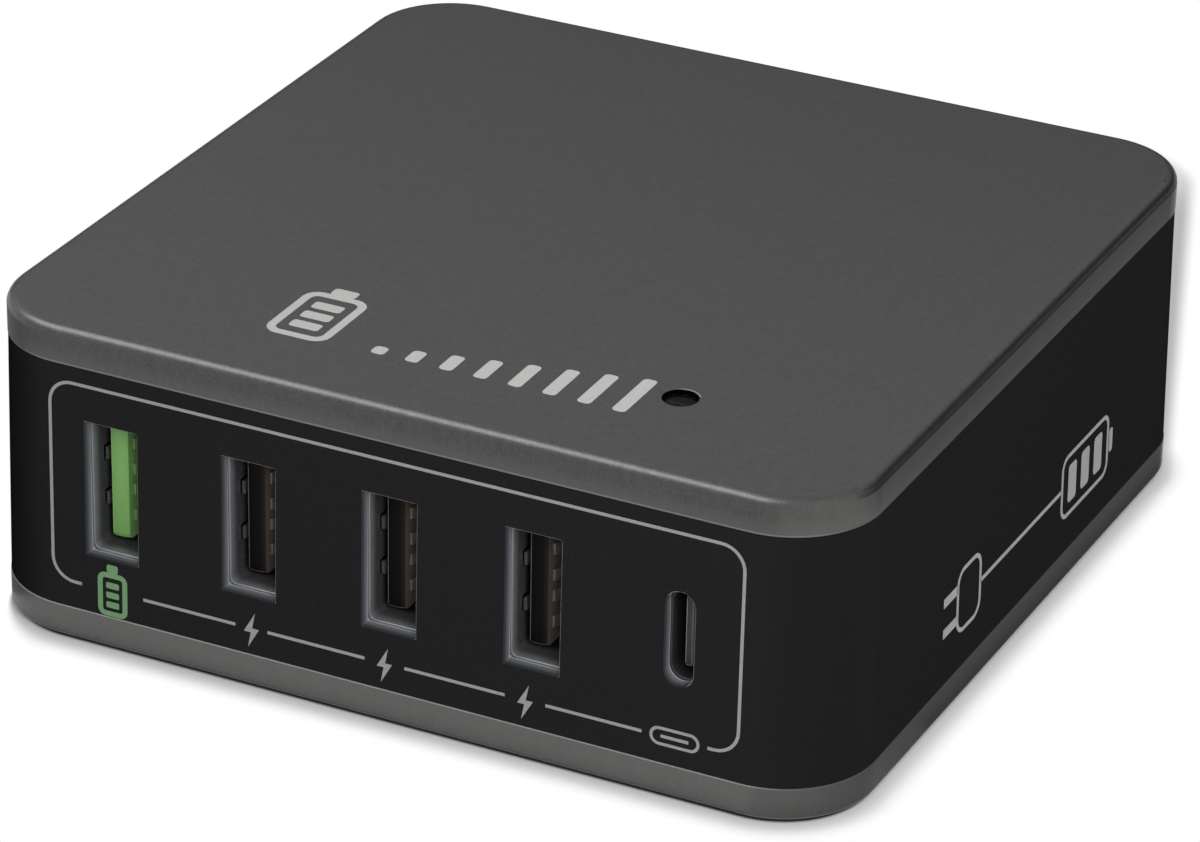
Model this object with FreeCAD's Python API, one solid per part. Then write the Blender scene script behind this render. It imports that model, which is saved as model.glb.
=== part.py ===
import FreeCAD, Part
import math
import os

from FreeCAD import Vector

# A square desktop charger. Two metallic covers clamp a black band, and five upright ports look out
# of the front of the band. Sizes are in millimetres, +Z is up, the ports face -Y, and the origin is
# on the table under the middle of the housing.

# Housing: width and depth are the lid's, and the band's draft in degrees makes its foot larger
WIDTH = 83.2
DEPTH = 82.5
BODY_HEIGHT = 30.35
CORNER_R = 8.3
TOP_SIDE = 3.62
BOTTOM_SIDE = 3.18
TOP_EDGE_R = 1.0
BOTTOM_EDGE_R = 0.6
RIM_BEVEL = 0.12
COVER_WALL = 2.0
BAND_INSET = 0.05
BAND_WALL = 1.8
BAND_DRAFT = 1.0
LIP_WALL = 1.0
LIP_DEPTH = 1.5
LIP_GAP = 0.15

# Feet, and the screws that they cover
FOOT_DIA = 8.0
FOOT_THICK = 1.3
FOOT_PROUD = 0.5
FOOT_BEVEL = 0.25
FOOT_GAP = 0.1
CORNER_INSET = 6.2
SCREW_DIA = 2.4
SCREW_LENGTH = 14.0
SCREW_HEAD_DIA = 4.2
SCREW_HEAD_HEIGHT = 1.7
SCREW_GAP = 0.1
SCREW_ROOM = 0.3
BOSS_DIA = 6.4
BOSS_HEIGHT = 6.5
POST_DIA = 5.0

# Port row: centres in from the sides of the lid and up from the underside, with the cut-outs a
# little higher than the shells behind them
FIRST_PORT_INSET = 13.94
LAST_PORT_INSET = 14.22
PORT_HEIGHT = 15.06
USB_A_COUNT = 4
PANEL_LIP = 1.2
POCKET_GAP = 0.15
MOUTH_GAP = 0.2
CONNECTOR_LENGTH = 13.6
SHEET = 0.3
INSERT_GAP = 0.05
CUTOUT_BEVEL = 0.1
CUTOUT_RISE = 0.18

# Large port: its long way is upright
A_MOUTH_LONG = 12.5
A_MOUTH_SHORT = 5.12
A_MOUTH_R = 0.5
A_CUTOUT_END = 0.25
A_CUTOUT_SIDE = 0.09
A_CUTOUT_R = 0.15
A_TONGUE_LONG = 11.4
A_TONGUE_THICK = 1.7
A_TONGUE_BACK_GAP = 0.84
A_TONGUE_SETBACK = 1.5
A_TONGUE_BEVEL = 0.6
A_TONGUE_BEVEL_LENGTH = 0.2
A_TONGUE_END_R = 0.6
A_BASE_LENGTH = 4.0
A_CONTACT_WIDTH = 1.1
A_CONTACT_THICK = 0.25
A_CONTACT_SETBACK = 0.9
A_CONTACT_ARCH = 0.35
A_CONTACT_ARCH_LENGTH = 2.4
A_CONTACT_INNER = 1.0
A_CONTACT_OUTER = 3.5
FINGER_WIDTH = 1.2
FINGER_LENGTH = 4.6
FINGER_START = 1.8
FINGER_BEND = 0.4
FINGER_SLIT = 0.2
FINGER_SPACING = 4.4
TAB_WIDTH = 2.0

# Small port
C_MOUTH_LONG = 8.34
C_MOUTH_SHORT = 2.56
C_CUTOUT_END = 0.28
C_CUTOUT_SIDE = 0.1
C_TONGUE_LONG = 6.7
C_TONGUE_THICK = 0.7
C_TONGUE_SETBACK = 0.6
C_TONGUE_END_R = 0.3
C_BASE_LENGTH = 6.0
C_CONTACT_COUNT = 12
C_CONTACT_PITCH = 0.5
C_CONTACT_WIDTH = 0.25
C_CONTACT_THICK = 0.1
C_CONTACT_SETBACK = 0.6

# Indicator: its window lies to the left of the small port
INDICATOR_TO_LAST_PORT = 6.66
WINDOW_DIA = 3.2
LENS_GAP = 0.05
LENS_RECESS = 0.3
LENS_FLANGE_DIA = 5.0
LENS_FLANGE_HEIGHT = 0.8
LED_DIA = 3.0
LED_HEIGHT = 4.5
LED_STANDOFF = 0.16
LED_GAP = 0.3
LED_LEAD_SPACING = 1.5

# Mains inlet at the back, two pins side by side
INLET_LONG = 20.0
INLET_HEIGHT = 11.6
INLET_DEPTH = 14.0
INLET_R = 2.0
INLET_GAP = 0.15
INLET_RECESS = 0.2
SOCKET_R = 4.1
SOCKET_WAIST = 6.4
SOCKET_DEPTH = 11.0
PIN_SPACING = 8.6
PIN_DIA = 2.4
PIN_SETBACK = 1.6
PIN_TAIL = 1.6

# Boards
BOARD_THICK = 1.6
BOARD_MARGIN = 1.5
BOARD_JOIN_GAP = 0.2
STANDOFF_HEIGHT = 3.0
STANDOFF_DIA = 5.0
BOARD_SCREW_INSET = 3.2
BOARD_SCREW_DIA = 2.0
BOARD_SCREW_LENGTH = 4.6
BOARD_SCREW_HEAD_DIA = 3.6
BOARD_SCREW_HEAD_HEIGHT = 1.2
NOTCH_GAP = 0.5
PORT_BOARD_END = 7.6
PORT_BOARD_TOP = 2.4
GUIDE_WALL = 1.2
GUIDE_LENGTH = 3.5
GUIDE_HEIGHT = 2.4
GUIDE_GAP = 0.1
LEAD_SIZE = 0.7
LEAD_GAP = 0.1
LEAD_TAIL = 1.0
HEADER_PIN_COUNT = 10
HEADER_PITCH = 2.54
HEADER_SIZE = 2.5
HEADER_PIN = 0.64
HEADER_SETBACK = 0.8

# Parts on the boards
LANE_FRONT = 5.0
LANE_BACK = 1.5
LANE_SIDE = 5.2
INLET_CLEAR = 1.5
FUSE_LONG = 8.4
FUSE_WIDE = 4.2
FUSE_HEIGHT = 7.6
VARISTOR_DIA = 7.6
VARISTOR_THICK = 3.6
FILTER_LONG = 17.0
FILTER_WIDE = 8.0
FILTER_HEIGHT = 13.0
CASE_EDGE_R = 0.5
BULK_DIA = 10.5
BULK_HEIGHT = 17.0
OUTPUT_DIA = 8.0
OUTPUT_HEIGHT = 11.5
CAN_EDGE_R = 0.6
CAN_CRIMP = 0.4
CAN_CRIMP_HEIGHT = 2.2
CHOKE_DIA = 9.0
CHOKE_BORE = 4.8
CHOKE_HEIGHT = 5.0
CHOKE_WIRE = 0.7
CHOKE_ARC = 130.0
BRIDGE_LONG = 13.0
BRIDGE_THICK = 3.4
BRIDGE_HEIGHT = 10.0
BRIDGE_CORNER = 2.0
BRIDGE_LEADS = 4
CORE_LONG = 22.0
CORE_DEEP = 16.0
CORE_THICK = 6.4
CORE_LEG = 6.2
CORE_SIDE_LEG = 2.8
CORE_YOKE = 3.0
BOBBIN_WALL = 0.8
BOBBIN_GAP = 0.1
BOBBIN_FLANGE = 14.0
BOBBIN_RAIL = 1.4
BOBBIN_PINS = 4
WINDING_INSET = 0.5
SINK_LONG = 15.0
SINK_HEIGHT = 15.0
SINK_PLATE = 1.6
SINK_FIN = 2.2
SINK_FIN_THICK = 0.9
SINK_FINS = 5
DEVICE_WIDE = 9.8
DEVICE_THICK = 3.0
DEVICE_HEIGHT = 8.6
DEVICE_TAB = 5.4
DEVICE_TAB_THICK = 1.2
DEVICE_STANDOFF = 3.4
DEVICE_LEAD_PITCH = 2.54
DISC_DIA = 6.6
DISC_THICK = 2.8
OPTO_LONG = 6.4
OPTO_WIDE = 4.6
OPTO_HEIGHT = 3.4
CHIP_LONG = 4.9
CHIP_WIDE = 3.9
CHIP_HEIGHT = 1.5
CHIP_LEGS = 4
CHIP_LEG = 0.4
CHIP_LEG_REACH = 0.9
CHIP_CLEAR = 0.8
DRUM_DIA = 8.0
DRUM_CORE_DIA = 4.4
DRUM_FLANGE = 1.4
DRUM_HEIGHT = 8.0
DRUM_WIRE_INSET = 0.6

X_AXIS = Vector(1, 0, 0)
Y_AXIS = Vector(0, 1, 0)
Z_AXIS = Vector(0, 0, 1)
SAME = 1e-6

# Levels and planes that the pieces share
underside = FOOT_PROUD
floor = underside + COVER_WALL
low_ledge = underside + BOTTOM_SIDE
top = underside + BODY_HEIGHT
high_ledge = top - TOP_SIDE
ceiling = top - COVER_WALL
boss_top = floor + BOSS_HEIGHT
foot_seat = underside + FOOT_THICK - FOOT_PROUD
screw_seat = foot_seat + SCREW_HEAD_HEIGHT + SCREW_ROOM
band_wide = WIDTH - 2 * BAND_INSET
band_deep = DEPTH - 2 * BAND_INSET
band_r = CORNER_R - BAND_INSET
draft_slope = math.tan(math.radians(BAND_DRAFT))
draft = (high_ledge - low_ledge) * draft_slope
foot_wide = WIDTH + 2 * draft
foot_deep = DEPTH + 2 * draft
foot_r = CORNER_R + draft
room_wide = band_wide - 2 * BAND_WALL
room_deep = band_deep - 2 * BAND_WALL
room_r = band_r - BAND_WALL
corner_x = WIDTH / 2 - CORNER_INSET
corner_y = DEPTH / 2 - CORNER_INSET
corners = [(sx * corner_x, sy * corner_y) for sy in (-1, 1) for sx in (-1, 1)]

first_port = FIRST_PORT_INSET - WIDTH / 2
last_port = WIDTH / 2 - LAST_PORT_INSET
port_pitch = (last_port - first_port) / USB_A_COUNT
usb_a_places = [first_port + i * port_pitch for i in range(USB_A_COUNT)]
port_z = underside + PORT_HEIGHT
cutout_z = port_z + CUTOUT_RISE
front = -band_deep / 2 - (high_ledge - cutout_z) * draft_slope
mouth = front + PANEL_LIP + MOUTH_GAP
port_board_front = mouth + CONNECTOR_LENGTH
port_board_back = port_board_front + BOARD_THICK
port_board_left = first_port - PORT_BOARD_END
port_board_right = last_port + PORT_BOARD_END
lens_bottom = ceiling - LENS_FLANGE_HEIGHT
port_board_top = lens_bottom - PORT_BOARD_TOP

indicator_x = last_port - INDICATOR_TO_LAST_PORT
indicator_y = port_board_front - LED_STANDOFF - LED_DIA / 2
led_top = lens_bottom - LED_GAP
led_bottom = led_top - LED_HEIGHT

board_under = floor + STANDOFF_HEIGHT
board_top = board_under + BOARD_THICK
board_side = room_wide / 2 - BOARD_MARGIN
board_front = port_board_back + BOARD_JOIN_GAP
board_back = room_deep / 2 - BOARD_MARGIN
notch_x = corner_x - BOSS_DIA / 2 - NOTCH_GAP
notch_y = corner_y - BOSS_DIA / 2 - NOTCH_GAP
board_screws_x = board_side - BOARD_SCREW_INSET
board_screws_front = board_front + BOARD_SCREW_INSET
board_screws_back = notch_y - BOARD_SCREW_INSET
board_screw_places = [(sx * board_screws_x, y)
                      for y in (board_screws_front, board_screws_back) for sx in (-1, 1)]

inlet_z = board_top + INLET_HEIGHT / 2
back = band_deep / 2 + (high_ledge - inlet_z) * draft_slope
inlet_face = back - INLET_RECESS
inlet_inner = inlet_face - INLET_DEPTH

os.makedirs("parts", exist_ok=True)

# Square holes that the leads of the parts need in the two boards
main_board_holes = []
port_board_holes = []


def block(x0, x1, y0, y1, z0, z1):
    return Part.makeBox(x1 - x0, y1 - y0, z1 - z0, Vector(x0, y0, z0))


def standing_block(x, y, z, size_x, size_y, size_z):
    return block(x - size_x / 2, x + size_x / 2, y - size_y / 2, y + size_y / 2, z, z + size_z)


def rod(x, y, z0, z1, dia):
    return Part.makeCylinder(dia / 2, z1 - z0, Vector(x, y, z0))


def rod_back(x, z, y0, y1, dia):
    return Part.makeCylinder(dia / 2, y1 - y0, Vector(x, y0, z), Y_AXIS)


def rounded_face(size_u, size_v, r):
    """A rectangle with round corners, about the origin in the XY plane."""
    half_u = size_u / 2 - r
    half_v = size_v / 2 - r
    centres = [Vector(half_u, half_v), Vector(-half_u, half_v),
               Vector(-half_u, -half_v), Vector(half_u, -half_v)]
    arcs = []
    for turn, centre in enumerate(centres):
        angles = [math.radians(90 * turn + step) for step in (0, 45, 90)]
        arcs.append([centre + Vector(r * math.cos(a), r * math.sin(a)) for a in angles])
    edges = []
    for this, following in zip(arcs, arcs[1:] + arcs[:1]):
        edges.append(Part.Arc(*this).toShape())
        if this[2].distanceToPoint(following[0]) > SAME:
            edges.append(Part.makeLine(this[2], following[0]))
    return Part.Face(Part.Wire(edges))


def upright_prism(size_x, size_y, r, z0, z1):
    face = rounded_face(size_x, size_y, r)
    face.translate(Vector(0, 0, z0))
    return face.extrude(Vector(0, 0, z1 - z0))


def level_prism(x, z, size_x, size_z, r, y0, y1):
    """A rounded prism that lies along Y."""
    face = rounded_face(size_x, size_z, r)
    face.rotate(Vector(), X_AXIS, 90)
    face.translate(Vector(x, y0, z))
    return face.extrude(Vector(0, y1 - y0, 0))


def plan_prism(points, z0, z1):
    """An outline in plan, pushed up from z0 to z1."""
    corners_in_plan = [Vector(x, y, z0) for x, y in points]
    wire = Part.makePolygon(corners_in_plan + corners_in_plan[:1])
    return Part.Face(wire).extrude(Vector(0, 0, z1 - z0))


def turned(x, y, profile):
    """A profile of (radius, height) points, turned about an upright axis."""
    points = [Vector(r, 0, z) for r, z in profile]
    solid = Part.Face(Part.makePolygon(points + points[:1])).revolve(Vector(), Z_AXIS, 360)
    solid.translate(Vector(x, y, 0))
    return solid


def joined(shapes):
    return shapes[0].multiFuse(shapes[1:]).removeSplitter()


def edges_at(shape, z):
    return [e for e in shape.Edges if all(abs(v.Z - z) < SAME for v in e.Vertexes)]


def upright_edges(shape):
    return [e for e in shape.Edges if abs(e.BoundBox.ZLength - shape.BoundBox.ZLength) < SAME]


def save(node, shape):
    shape.exportStep("parts/%s.step" % node)


def save_group(node, solids):
    save(node, Part.makeCompound(solids))


def spread(sizes, low, high):
    """Centres of a row of things between low and high, with equal gaps."""
    gap = (high - low - sum(sizes)) / (len(sizes) - 1)
    centres = []
    for size in sizes:
        centres.append(low + size / 2)
        low += size + gap
    return centres


def main_lead(x, y, z_top):
    """A lead from a part down through the main board."""
    main_board_holes.append((x, y))
    bottom = board_under - LEAD_TAIL
    return standing_block(x, y, bottom, LEAD_SIZE, LEAD_SIZE, z_top - bottom)


def port_lead(x0, x1, y0, z0, z1):
    """A flat lead from y0 back through the port board."""
    port_board_holes.append((x0, x1, z0, z1))
    return block(x0, x1, y0, port_board_back + LEAD_TAIL, z0, z1)


# The housing

def lip_ring(z0, z1):
    """The rim of a cover that reaches inside the band and locates it."""
    return upright_prism(room_wide - 2 * LIP_GAP, room_deep - 2 * LIP_GAP, room_r - LIP_GAP, z0, z1)


def inner_room(z0, z1):
    inset = LIP_GAP + LIP_WALL
    return upright_prism(room_wide - 2 * inset, room_deep - 2 * inset, room_r - inset, z0, z1)


def top_cover():
    lid = upright_prism(WIDTH, DEPTH, CORNER_R, high_ledge, top)
    lid = lid.makeFillet(TOP_EDGE_R, edges_at(lid, top))
    lid = lid.makeChamfer(RIM_BEVEL, edges_at(lid, high_ledge))
    lid = joined([lid, lip_ring(high_ledge - LIP_DEPTH, high_ledge)])
    lid = lid.cut(inner_room(high_ledge - LIP_DEPTH, ceiling))
    lid = joined([lid] + [rod(x, y, boss_top, ceiling, POST_DIA) for x, y in corners])
    pilot_top = screw_seat + SCREW_LENGTH + SCREW_ROOM
    holes = [rod(x, y, boss_top, pilot_top, SCREW_DIA + 2 * SCREW_GAP) for x, y in corners]
    holes.append(rod(indicator_x, indicator_y, ceiling, top, WINDOW_DIA))
    return lid.cut(holes)


def port_cutout(x, size_x, size_z, r):
    """An opening through the front of the band, with its front edge eased along the drafted face."""
    hole = level_prism(x, cutout_z, size_x, size_z, r, -foot_deep / 2, -room_deep / 2)
    outlines = []
    for step in (-1, 1.5):
        grown = CUTOUT_BEVEL * (1 - step)
        face = rounded_face(size_x + 2 * grown, size_z + 2 * grown, r + grown)
        face.rotate(Vector(), X_AXIS, 90 - BAND_DRAFT)
        face.translate(Vector(x, front + step * CUTOUT_BEVEL, cutout_z))
        outlines.append(face.OuterWire)
    return hole.fuse(Part.makeLoft(outlines, True, True))


def shell_pocket(x, size_x, size_z, r):
    """The pocket behind the panel that takes the mouth of a connector's shell."""
    grown = SHEET + POCKET_GAP
    return level_prism(x, port_z, size_x + 2 * grown, size_z + 2 * grown, r + grown,
                       front + PANEL_LIP, -room_deep / 2)


def middle_band():
    outlines = []
    for z, grown in ((low_ledge, draft), (high_ledge, 0)):
        face = rounded_face(band_wide + 2 * grown, band_deep + 2 * grown, band_r + grown)
        face.translate(Vector(0, 0, z))
        outlines.append(face.OuterWire)
    ring = Part.makeLoft(outlines, True, True)
    ring = ring.cut(upright_prism(room_wide, room_deep, room_r, low_ledge, high_ledge))
    cuts = []
    a_short = A_MOUTH_SHORT + 2 * A_CUTOUT_SIDE
    a_long = A_MOUTH_LONG + 2 * A_CUTOUT_END
    for x in usb_a_places:
        cuts.append(port_cutout(x, a_short, a_long, A_CUTOUT_R))
        cuts.append(shell_pocket(x, A_MOUTH_SHORT, A_MOUTH_LONG, A_MOUTH_R))
    c_short = C_MOUTH_SHORT + 2 * C_CUTOUT_SIDE
    cuts.append(port_cutout(last_port, c_short, C_MOUTH_LONG + 2 * C_CUTOUT_END, c_short / 2))
    cuts.append(shell_pocket(last_port, C_MOUTH_SHORT, C_MOUTH_LONG, C_MOUTH_SHORT / 2))
    cuts.append(level_prism(0, inlet_z, INLET_LONG + 2 * INLET_GAP, INLET_HEIGHT + 2 * INLET_GAP,
                            INLET_R + INLET_GAP, room_deep / 2, foot_deep / 2))
    return ring.cut(cuts)


def board_guide(x):
    """A pair of low walls on the tray's floor that hold the foot of the port board."""
    slot = [port_board_front - GUIDE_GAP, port_board_back + GUIDE_GAP]
    walls = standing_block(x, (slot[0] + slot[1]) / 2, floor, GUIDE_LENGTH,
                           slot[1] - slot[0] + 2 * GUIDE_WALL, GUIDE_HEIGHT)
    return walls.cut(block(x - GUIDE_LENGTH, x + GUIDE_LENGTH, slot[0], slot[1], floor, floor + GUIDE_HEIGHT))


def bottom_cover():
    tray = upright_prism(foot_wide, foot_deep, foot_r, underside, low_ledge)
    tray = tray.makeFillet(BOTTOM_EDGE_R, edges_at(tray, underside))
    tray = tray.makeChamfer(RIM_BEVEL, edges_at(tray, low_ledge))
    tray = joined([tray, lip_ring(low_ledge, low_ledge + LIP_DEPTH)])
    tray = tray.cut(inner_room(floor, low_ledge + LIP_DEPTH))
    raised = [rod(x, y, floor, boss_top, BOSS_DIA) for x, y in corners]
    raised += [rod(x, y, floor, board_under, STANDOFF_DIA) for x, y in board_screw_places]
    raised += [board_guide(x) for x in (port_board_left + GUIDE_LENGTH, port_board_right - GUIDE_LENGTH)]
    tray = joined([tray] + raised)
    holes = []
    for x, y in corners:
        holes.append(rod(x, y, underside, foot_seat, FOOT_DIA + 2 * FOOT_GAP))
        holes.append(rod(x, y, foot_seat, screw_seat, SCREW_HEAD_DIA + 2 * SCREW_GAP))
        holes.append(rod(x, y, screw_seat, boss_top, SCREW_DIA + 2 * SCREW_GAP))
    pilot_foot = board_top - BOARD_SCREW_LENGTH - SCREW_GAP
    for x, y in board_screw_places:
        holes.append(rod(x, y, pilot_foot, board_under, BOARD_SCREW_DIA + 2 * SCREW_GAP))
    return tray.cut(holes)


def rubber_foot(x, y):
    pad = rod(x, y, underside - FOOT_PROUD, foot_seat, FOOT_DIA)
    return pad.makeChamfer(FOOT_BEVEL, edges_at(pad, underside - FOOT_PROUD))


def housing_screw(x, y):
    """A long screw, head down, with a flat end."""
    return turned(x, y, [(0, screw_seat - SCREW_HEAD_HEIGHT),
                         (SCREW_HEAD_DIA / 2, screw_seat - SCREW_HEAD_HEIGHT),
                         (SCREW_HEAD_DIA / 2, screw_seat),
                         (SCREW_DIA / 2, screw_seat),
                         (SCREW_DIA / 2, screw_seat + SCREW_LENGTH),
                         (0, screw_seat + SCREW_LENGTH)])


def board_screw(x, y):
    return turned(x, y, [(0, board_top - BOARD_SCREW_LENGTH),
                         (BOARD_SCREW_DIA / 2, board_top - BOARD_SCREW_LENGTH),
                         (BOARD_SCREW_DIA / 2, board_top),
                         (BOARD_SCREW_HEAD_DIA / 2, board_top),
                         (BOARD_SCREW_HEAD_DIA / 2, board_top + BOARD_SCREW_HEAD_HEIGHT),
                         (0, board_top + BOARD_SCREW_HEAD_HEIGHT)])


save("top_cover", top_cover())
save("middle_band", middle_band())
save("bottom_cover", bottom_cover())
for number, (x, y) in enumerate(corners, 1):
    save("rubber_foot_%d" % number, rubber_foot(x, y))
save_group("housing_screws", [housing_screw(x, y) for x, y in corners])
save_group("board_screws", [board_screw(x, y) for x, y in board_screw_places])


# The large ports: a folded shell with spring fingers, an insulator with its tongue, four contacts

def spring_finger(x, side, z):
    """A tongue of the shell's long wall, bent inwards between two slits; side is the wall it is in."""
    wall = x + side * A_MOUTH_SHORT / 2
    tip = mouth + FINGER_START + FINGER_SLIT
    root = tip + FINGER_LENGTH
    crest = tip + FINGER_LENGTH / 3
    inner = [(wall, root), (wall - side * FINGER_BEND, crest), (wall - side * FINGER_BEND / 2, tip)]
    outer = [(px + side * SHEET, py) for px, py in inner]
    return plan_prism(inner + outer[::-1], z - FINGER_WIDTH / 2, z + FINGER_WIDTH / 2)


def finger_window(x, side, z):
    wall = x + side * A_MOUTH_SHORT / 2
    x0, x1 = sorted((wall, wall + side * SHEET))
    half = FINGER_WIDTH / 2 + FINGER_SLIT
    start = mouth + FINGER_START
    return block(x0, x1, start, start + FINGER_SLIT + FINGER_LENGTH, z - half, z + half)


def usb_a_shell(x):
    long_out = A_MOUTH_LONG + 2 * SHEET
    short_out = A_MOUTH_SHORT + 2 * SHEET
    shell = level_prism(x, port_z, short_out, long_out, A_MOUTH_R + SHEET, mouth, port_board_front)
    shell = shell.cut(level_prism(x, port_z, A_MOUTH_SHORT, A_MOUTH_LONG, A_MOUTH_R, mouth, port_board_front))
    springs = [(side, port_z + up * FINGER_SPACING / 2) for side in (-1, 1) for up in (-1, 1)]
    shell = shell.cut([finger_window(x, side, z) for side, z in springs])
    added = [spring_finger(x, side, z) for side, z in springs]
    for z0 in (port_z - A_MOUTH_LONG / 2 - SHEET, port_z + A_MOUTH_LONG / 2):
        added.append(port_lead(x - TAB_WIDTH / 2, x + TAB_WIDTH / 2, port_board_front, z0, z0 + SHEET))
    return joined([shell] + added)


def usb_a_tongue(x):
    back_face = x - A_MOUTH_SHORT / 2 + A_TONGUE_BACK_GAP
    contact_face = back_face + A_TONGUE_THICK
    tip = mouth + A_TONGUE_SETBACK
    base_front = port_board_front - A_BASE_LENGTH
    outline = [(back_face, base_front), (back_face, tip), (contact_face - A_TONGUE_BEVEL, tip),
               (contact_face, tip + A_TONGUE_BEVEL_LENGTH), (contact_face, base_front)]
    tongue = plan_prism(outline, port_z - A_TONGUE_LONG / 2, port_z + A_TONGUE_LONG / 2)
    reach = base_front - tip
    side_view = rounded_face(A_TONGUE_LONG, 2 * reach, A_TONGUE_END_R)
    side_view.rotate(Vector(), Y_AXIS, -90)
    side_view.translate(Vector(back_face, base_front, port_z))
    tongue = tongue.common(side_view.extrude(Vector(A_TONGUE_THICK, 0, 0)))
    base = level_prism(x, port_z, A_MOUTH_SHORT - 2 * INSERT_GAP, A_MOUTH_LONG - 2 * INSERT_GAP,
                       A_MOUTH_R - INSERT_GAP, base_front, port_board_front)
    slots = [block(contact_face, contact_face + A_CONTACT_THICK + INSERT_GAP, base_front, port_board_front,
                   z - A_CONTACT_WIDTH / 2 - INSERT_GAP, z + A_CONTACT_WIDTH / 2 + INSERT_GAP)
             for z in usb_a_contact_heights()]
    return joined([tongue, base]).cut(slots)


def usb_a_contact_heights():
    return [port_z + up * z for z in (A_CONTACT_INNER, A_CONTACT_OUTER) for up in (-1, 1)]


def usb_a_contact(x, z):
    """A strip along the tongue, arched near its end, that goes back through the port board."""
    inner_face = x - A_MOUTH_SHORT / 2 + A_TONGUE_BACK_GAP + A_TONGUE_THICK
    outer_face = inner_face + A_CONTACT_THICK
    start = mouth + A_TONGUE_SETBACK + A_CONTACT_SETBACK
    crest = start + A_CONTACT_ARCH_LENGTH / 2
    end = start + A_CONTACT_ARCH_LENGTH
    under = [(inner_face, port_board_front), (inner_face, end),
             (inner_face + A_CONTACT_ARCH, crest), (inner_face, start)]
    over = [(px + A_CONTACT_THICK, py) for px, py in under]
    z0 = z - A_CONTACT_WIDTH / 2
    z1 = z + A_CONTACT_WIDTH / 2
    strip = plan_prism(under + over[::-1], z0, z1)
    return joined([strip, port_lead(inner_face, outer_face, port_board_front, z0, z1)])


for number, x in enumerate(usb_a_places, 1):
    save("usb_a_shell_%d" % number, usb_a_shell(x))
    save("usb_a_tongue_%d" % number, usb_a_tongue(x))
    save_group("usb_a_contacts_%d" % number, [usb_a_contact(x, z) for z in usb_a_contact_heights()])


# The small port: a drawn shell, an insulator with its tongue, contacts on both faces of the tongue

c_base_front = port_board_front - C_BASE_LENGTH
c_tongue_tip = mouth + C_TONGUE_SETBACK
c_contact_rows = [last_port - C_TONGUE_THICK / 2 - C_CONTACT_THICK, last_port + C_TONGUE_THICK / 2]


def usb_c_shell():
    outside = level_prism(last_port, port_z, C_MOUTH_SHORT + 2 * SHEET, C_MOUTH_LONG + 2 * SHEET,
                          C_MOUTH_SHORT / 2 + SHEET, mouth, port_board_front)
    return outside.cut(level_prism(last_port, port_z, C_MOUTH_SHORT, C_MOUTH_LONG, C_MOUTH_SHORT / 2,
                                   mouth, port_board_front))


def usb_c_tongue():
    tongue = block(last_port - C_TONGUE_THICK / 2, last_port + C_TONGUE_THICK / 2, c_tongue_tip, c_base_front,
                   port_z - C_TONGUE_LONG / 2, port_z + C_TONGUE_LONG / 2)
    tip_ends = [e for e in tongue.Edges
                if all(abs(v.Y - c_tongue_tip) < SAME for v in e.Vertexes) and e.BoundBox.ZLength < SAME]
    tongue = tongue.makeFillet(C_TONGUE_END_R, tip_ends)
    base = level_prism(last_port, port_z, C_MOUTH_SHORT - 2 * INSERT_GAP, C_MOUTH_LONG - 2 * INSERT_GAP,
                       C_MOUTH_SHORT / 2 - INSERT_GAP, c_base_front, port_board_front)
    half = C_CONTACT_COUNT * C_CONTACT_PITCH / 2
    slots = [block(x, x + C_CONTACT_THICK, c_base_front, port_board_front, port_z - half, port_z + half)
             for x in c_contact_rows]
    return joined([tongue, base]).cut(slots)


def usb_c_contacts():
    lowest = port_z - (C_CONTACT_COUNT - 1) * C_CONTACT_PITCH / 2 - C_CONTACT_WIDTH / 2
    heights = [lowest + i * C_CONTACT_PITCH for i in range(C_CONTACT_COUNT)]
    start = c_tongue_tip + C_CONTACT_SETBACK
    return [block(x, x + C_CONTACT_THICK, start, port_board_front, z, z + C_CONTACT_WIDTH)
            for x in c_contact_rows for z in heights]


save("usb_c_shell", usb_c_shell())
save("usb_c_tongue", usb_c_tongue())
save_group("usb_c_contacts", usb_c_contacts())


# The indicator: a lens glued under the lid's window and a lamp on the port board below it

def indicator_lens():
    stem = rod(indicator_x, indicator_y, lens_bottom, top - LENS_RECESS, WINDOW_DIA - 2 * LENS_GAP)
    return joined([stem, rod(indicator_x, indicator_y, lens_bottom, ceiling, LENS_FLANGE_DIA)])


def indicator_led():
    r = LED_DIA / 2
    body = rod(indicator_x, indicator_y, led_bottom, led_top - r, LED_DIA)
    dome = Part.makeSphere(r, Vector(indicator_x, indicator_y, led_top - r))
    leads = []
    for side in (-1, 1):
        x0 = indicator_x + side * LED_LEAD_SPACING / 2 - LEAD_SIZE / 2
        leads.append(port_lead(x0, x0 + LEAD_SIZE, indicator_y, led_bottom - LEAD_SIZE, led_bottom))
    return joined([body, dome] + leads)


save("indicator_lens", indicator_lens())
save("indicator_led", indicator_led())


# The mains inlet: a block with a figure-of-eight socket, and its two pins with their tails

def mains_inlet():
    body = level_prism(0, inlet_z, INLET_LONG, INLET_HEIGHT, INLET_R, inlet_inner, inlet_face)
    socket_floor = inlet_face - SOCKET_DEPTH
    cuts = [rod_back(side * PIN_SPACING / 2, inlet_z, socket_floor, inlet_face, 2 * SOCKET_R)
            for side in (-1, 1)]
    cuts.append(block(-PIN_SPACING / 2, PIN_SPACING / 2, socket_floor, inlet_face,
                      inlet_z - SOCKET_WAIST / 2, inlet_z + SOCKET_WAIST / 2))
    cuts += [rod_back(side * PIN_SPACING / 2, inlet_z, inlet_inner, socket_floor, PIN_DIA + 2 * INSERT_GAP)
             for side in (-1, 1)]
    return body.cut(cuts)


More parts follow.
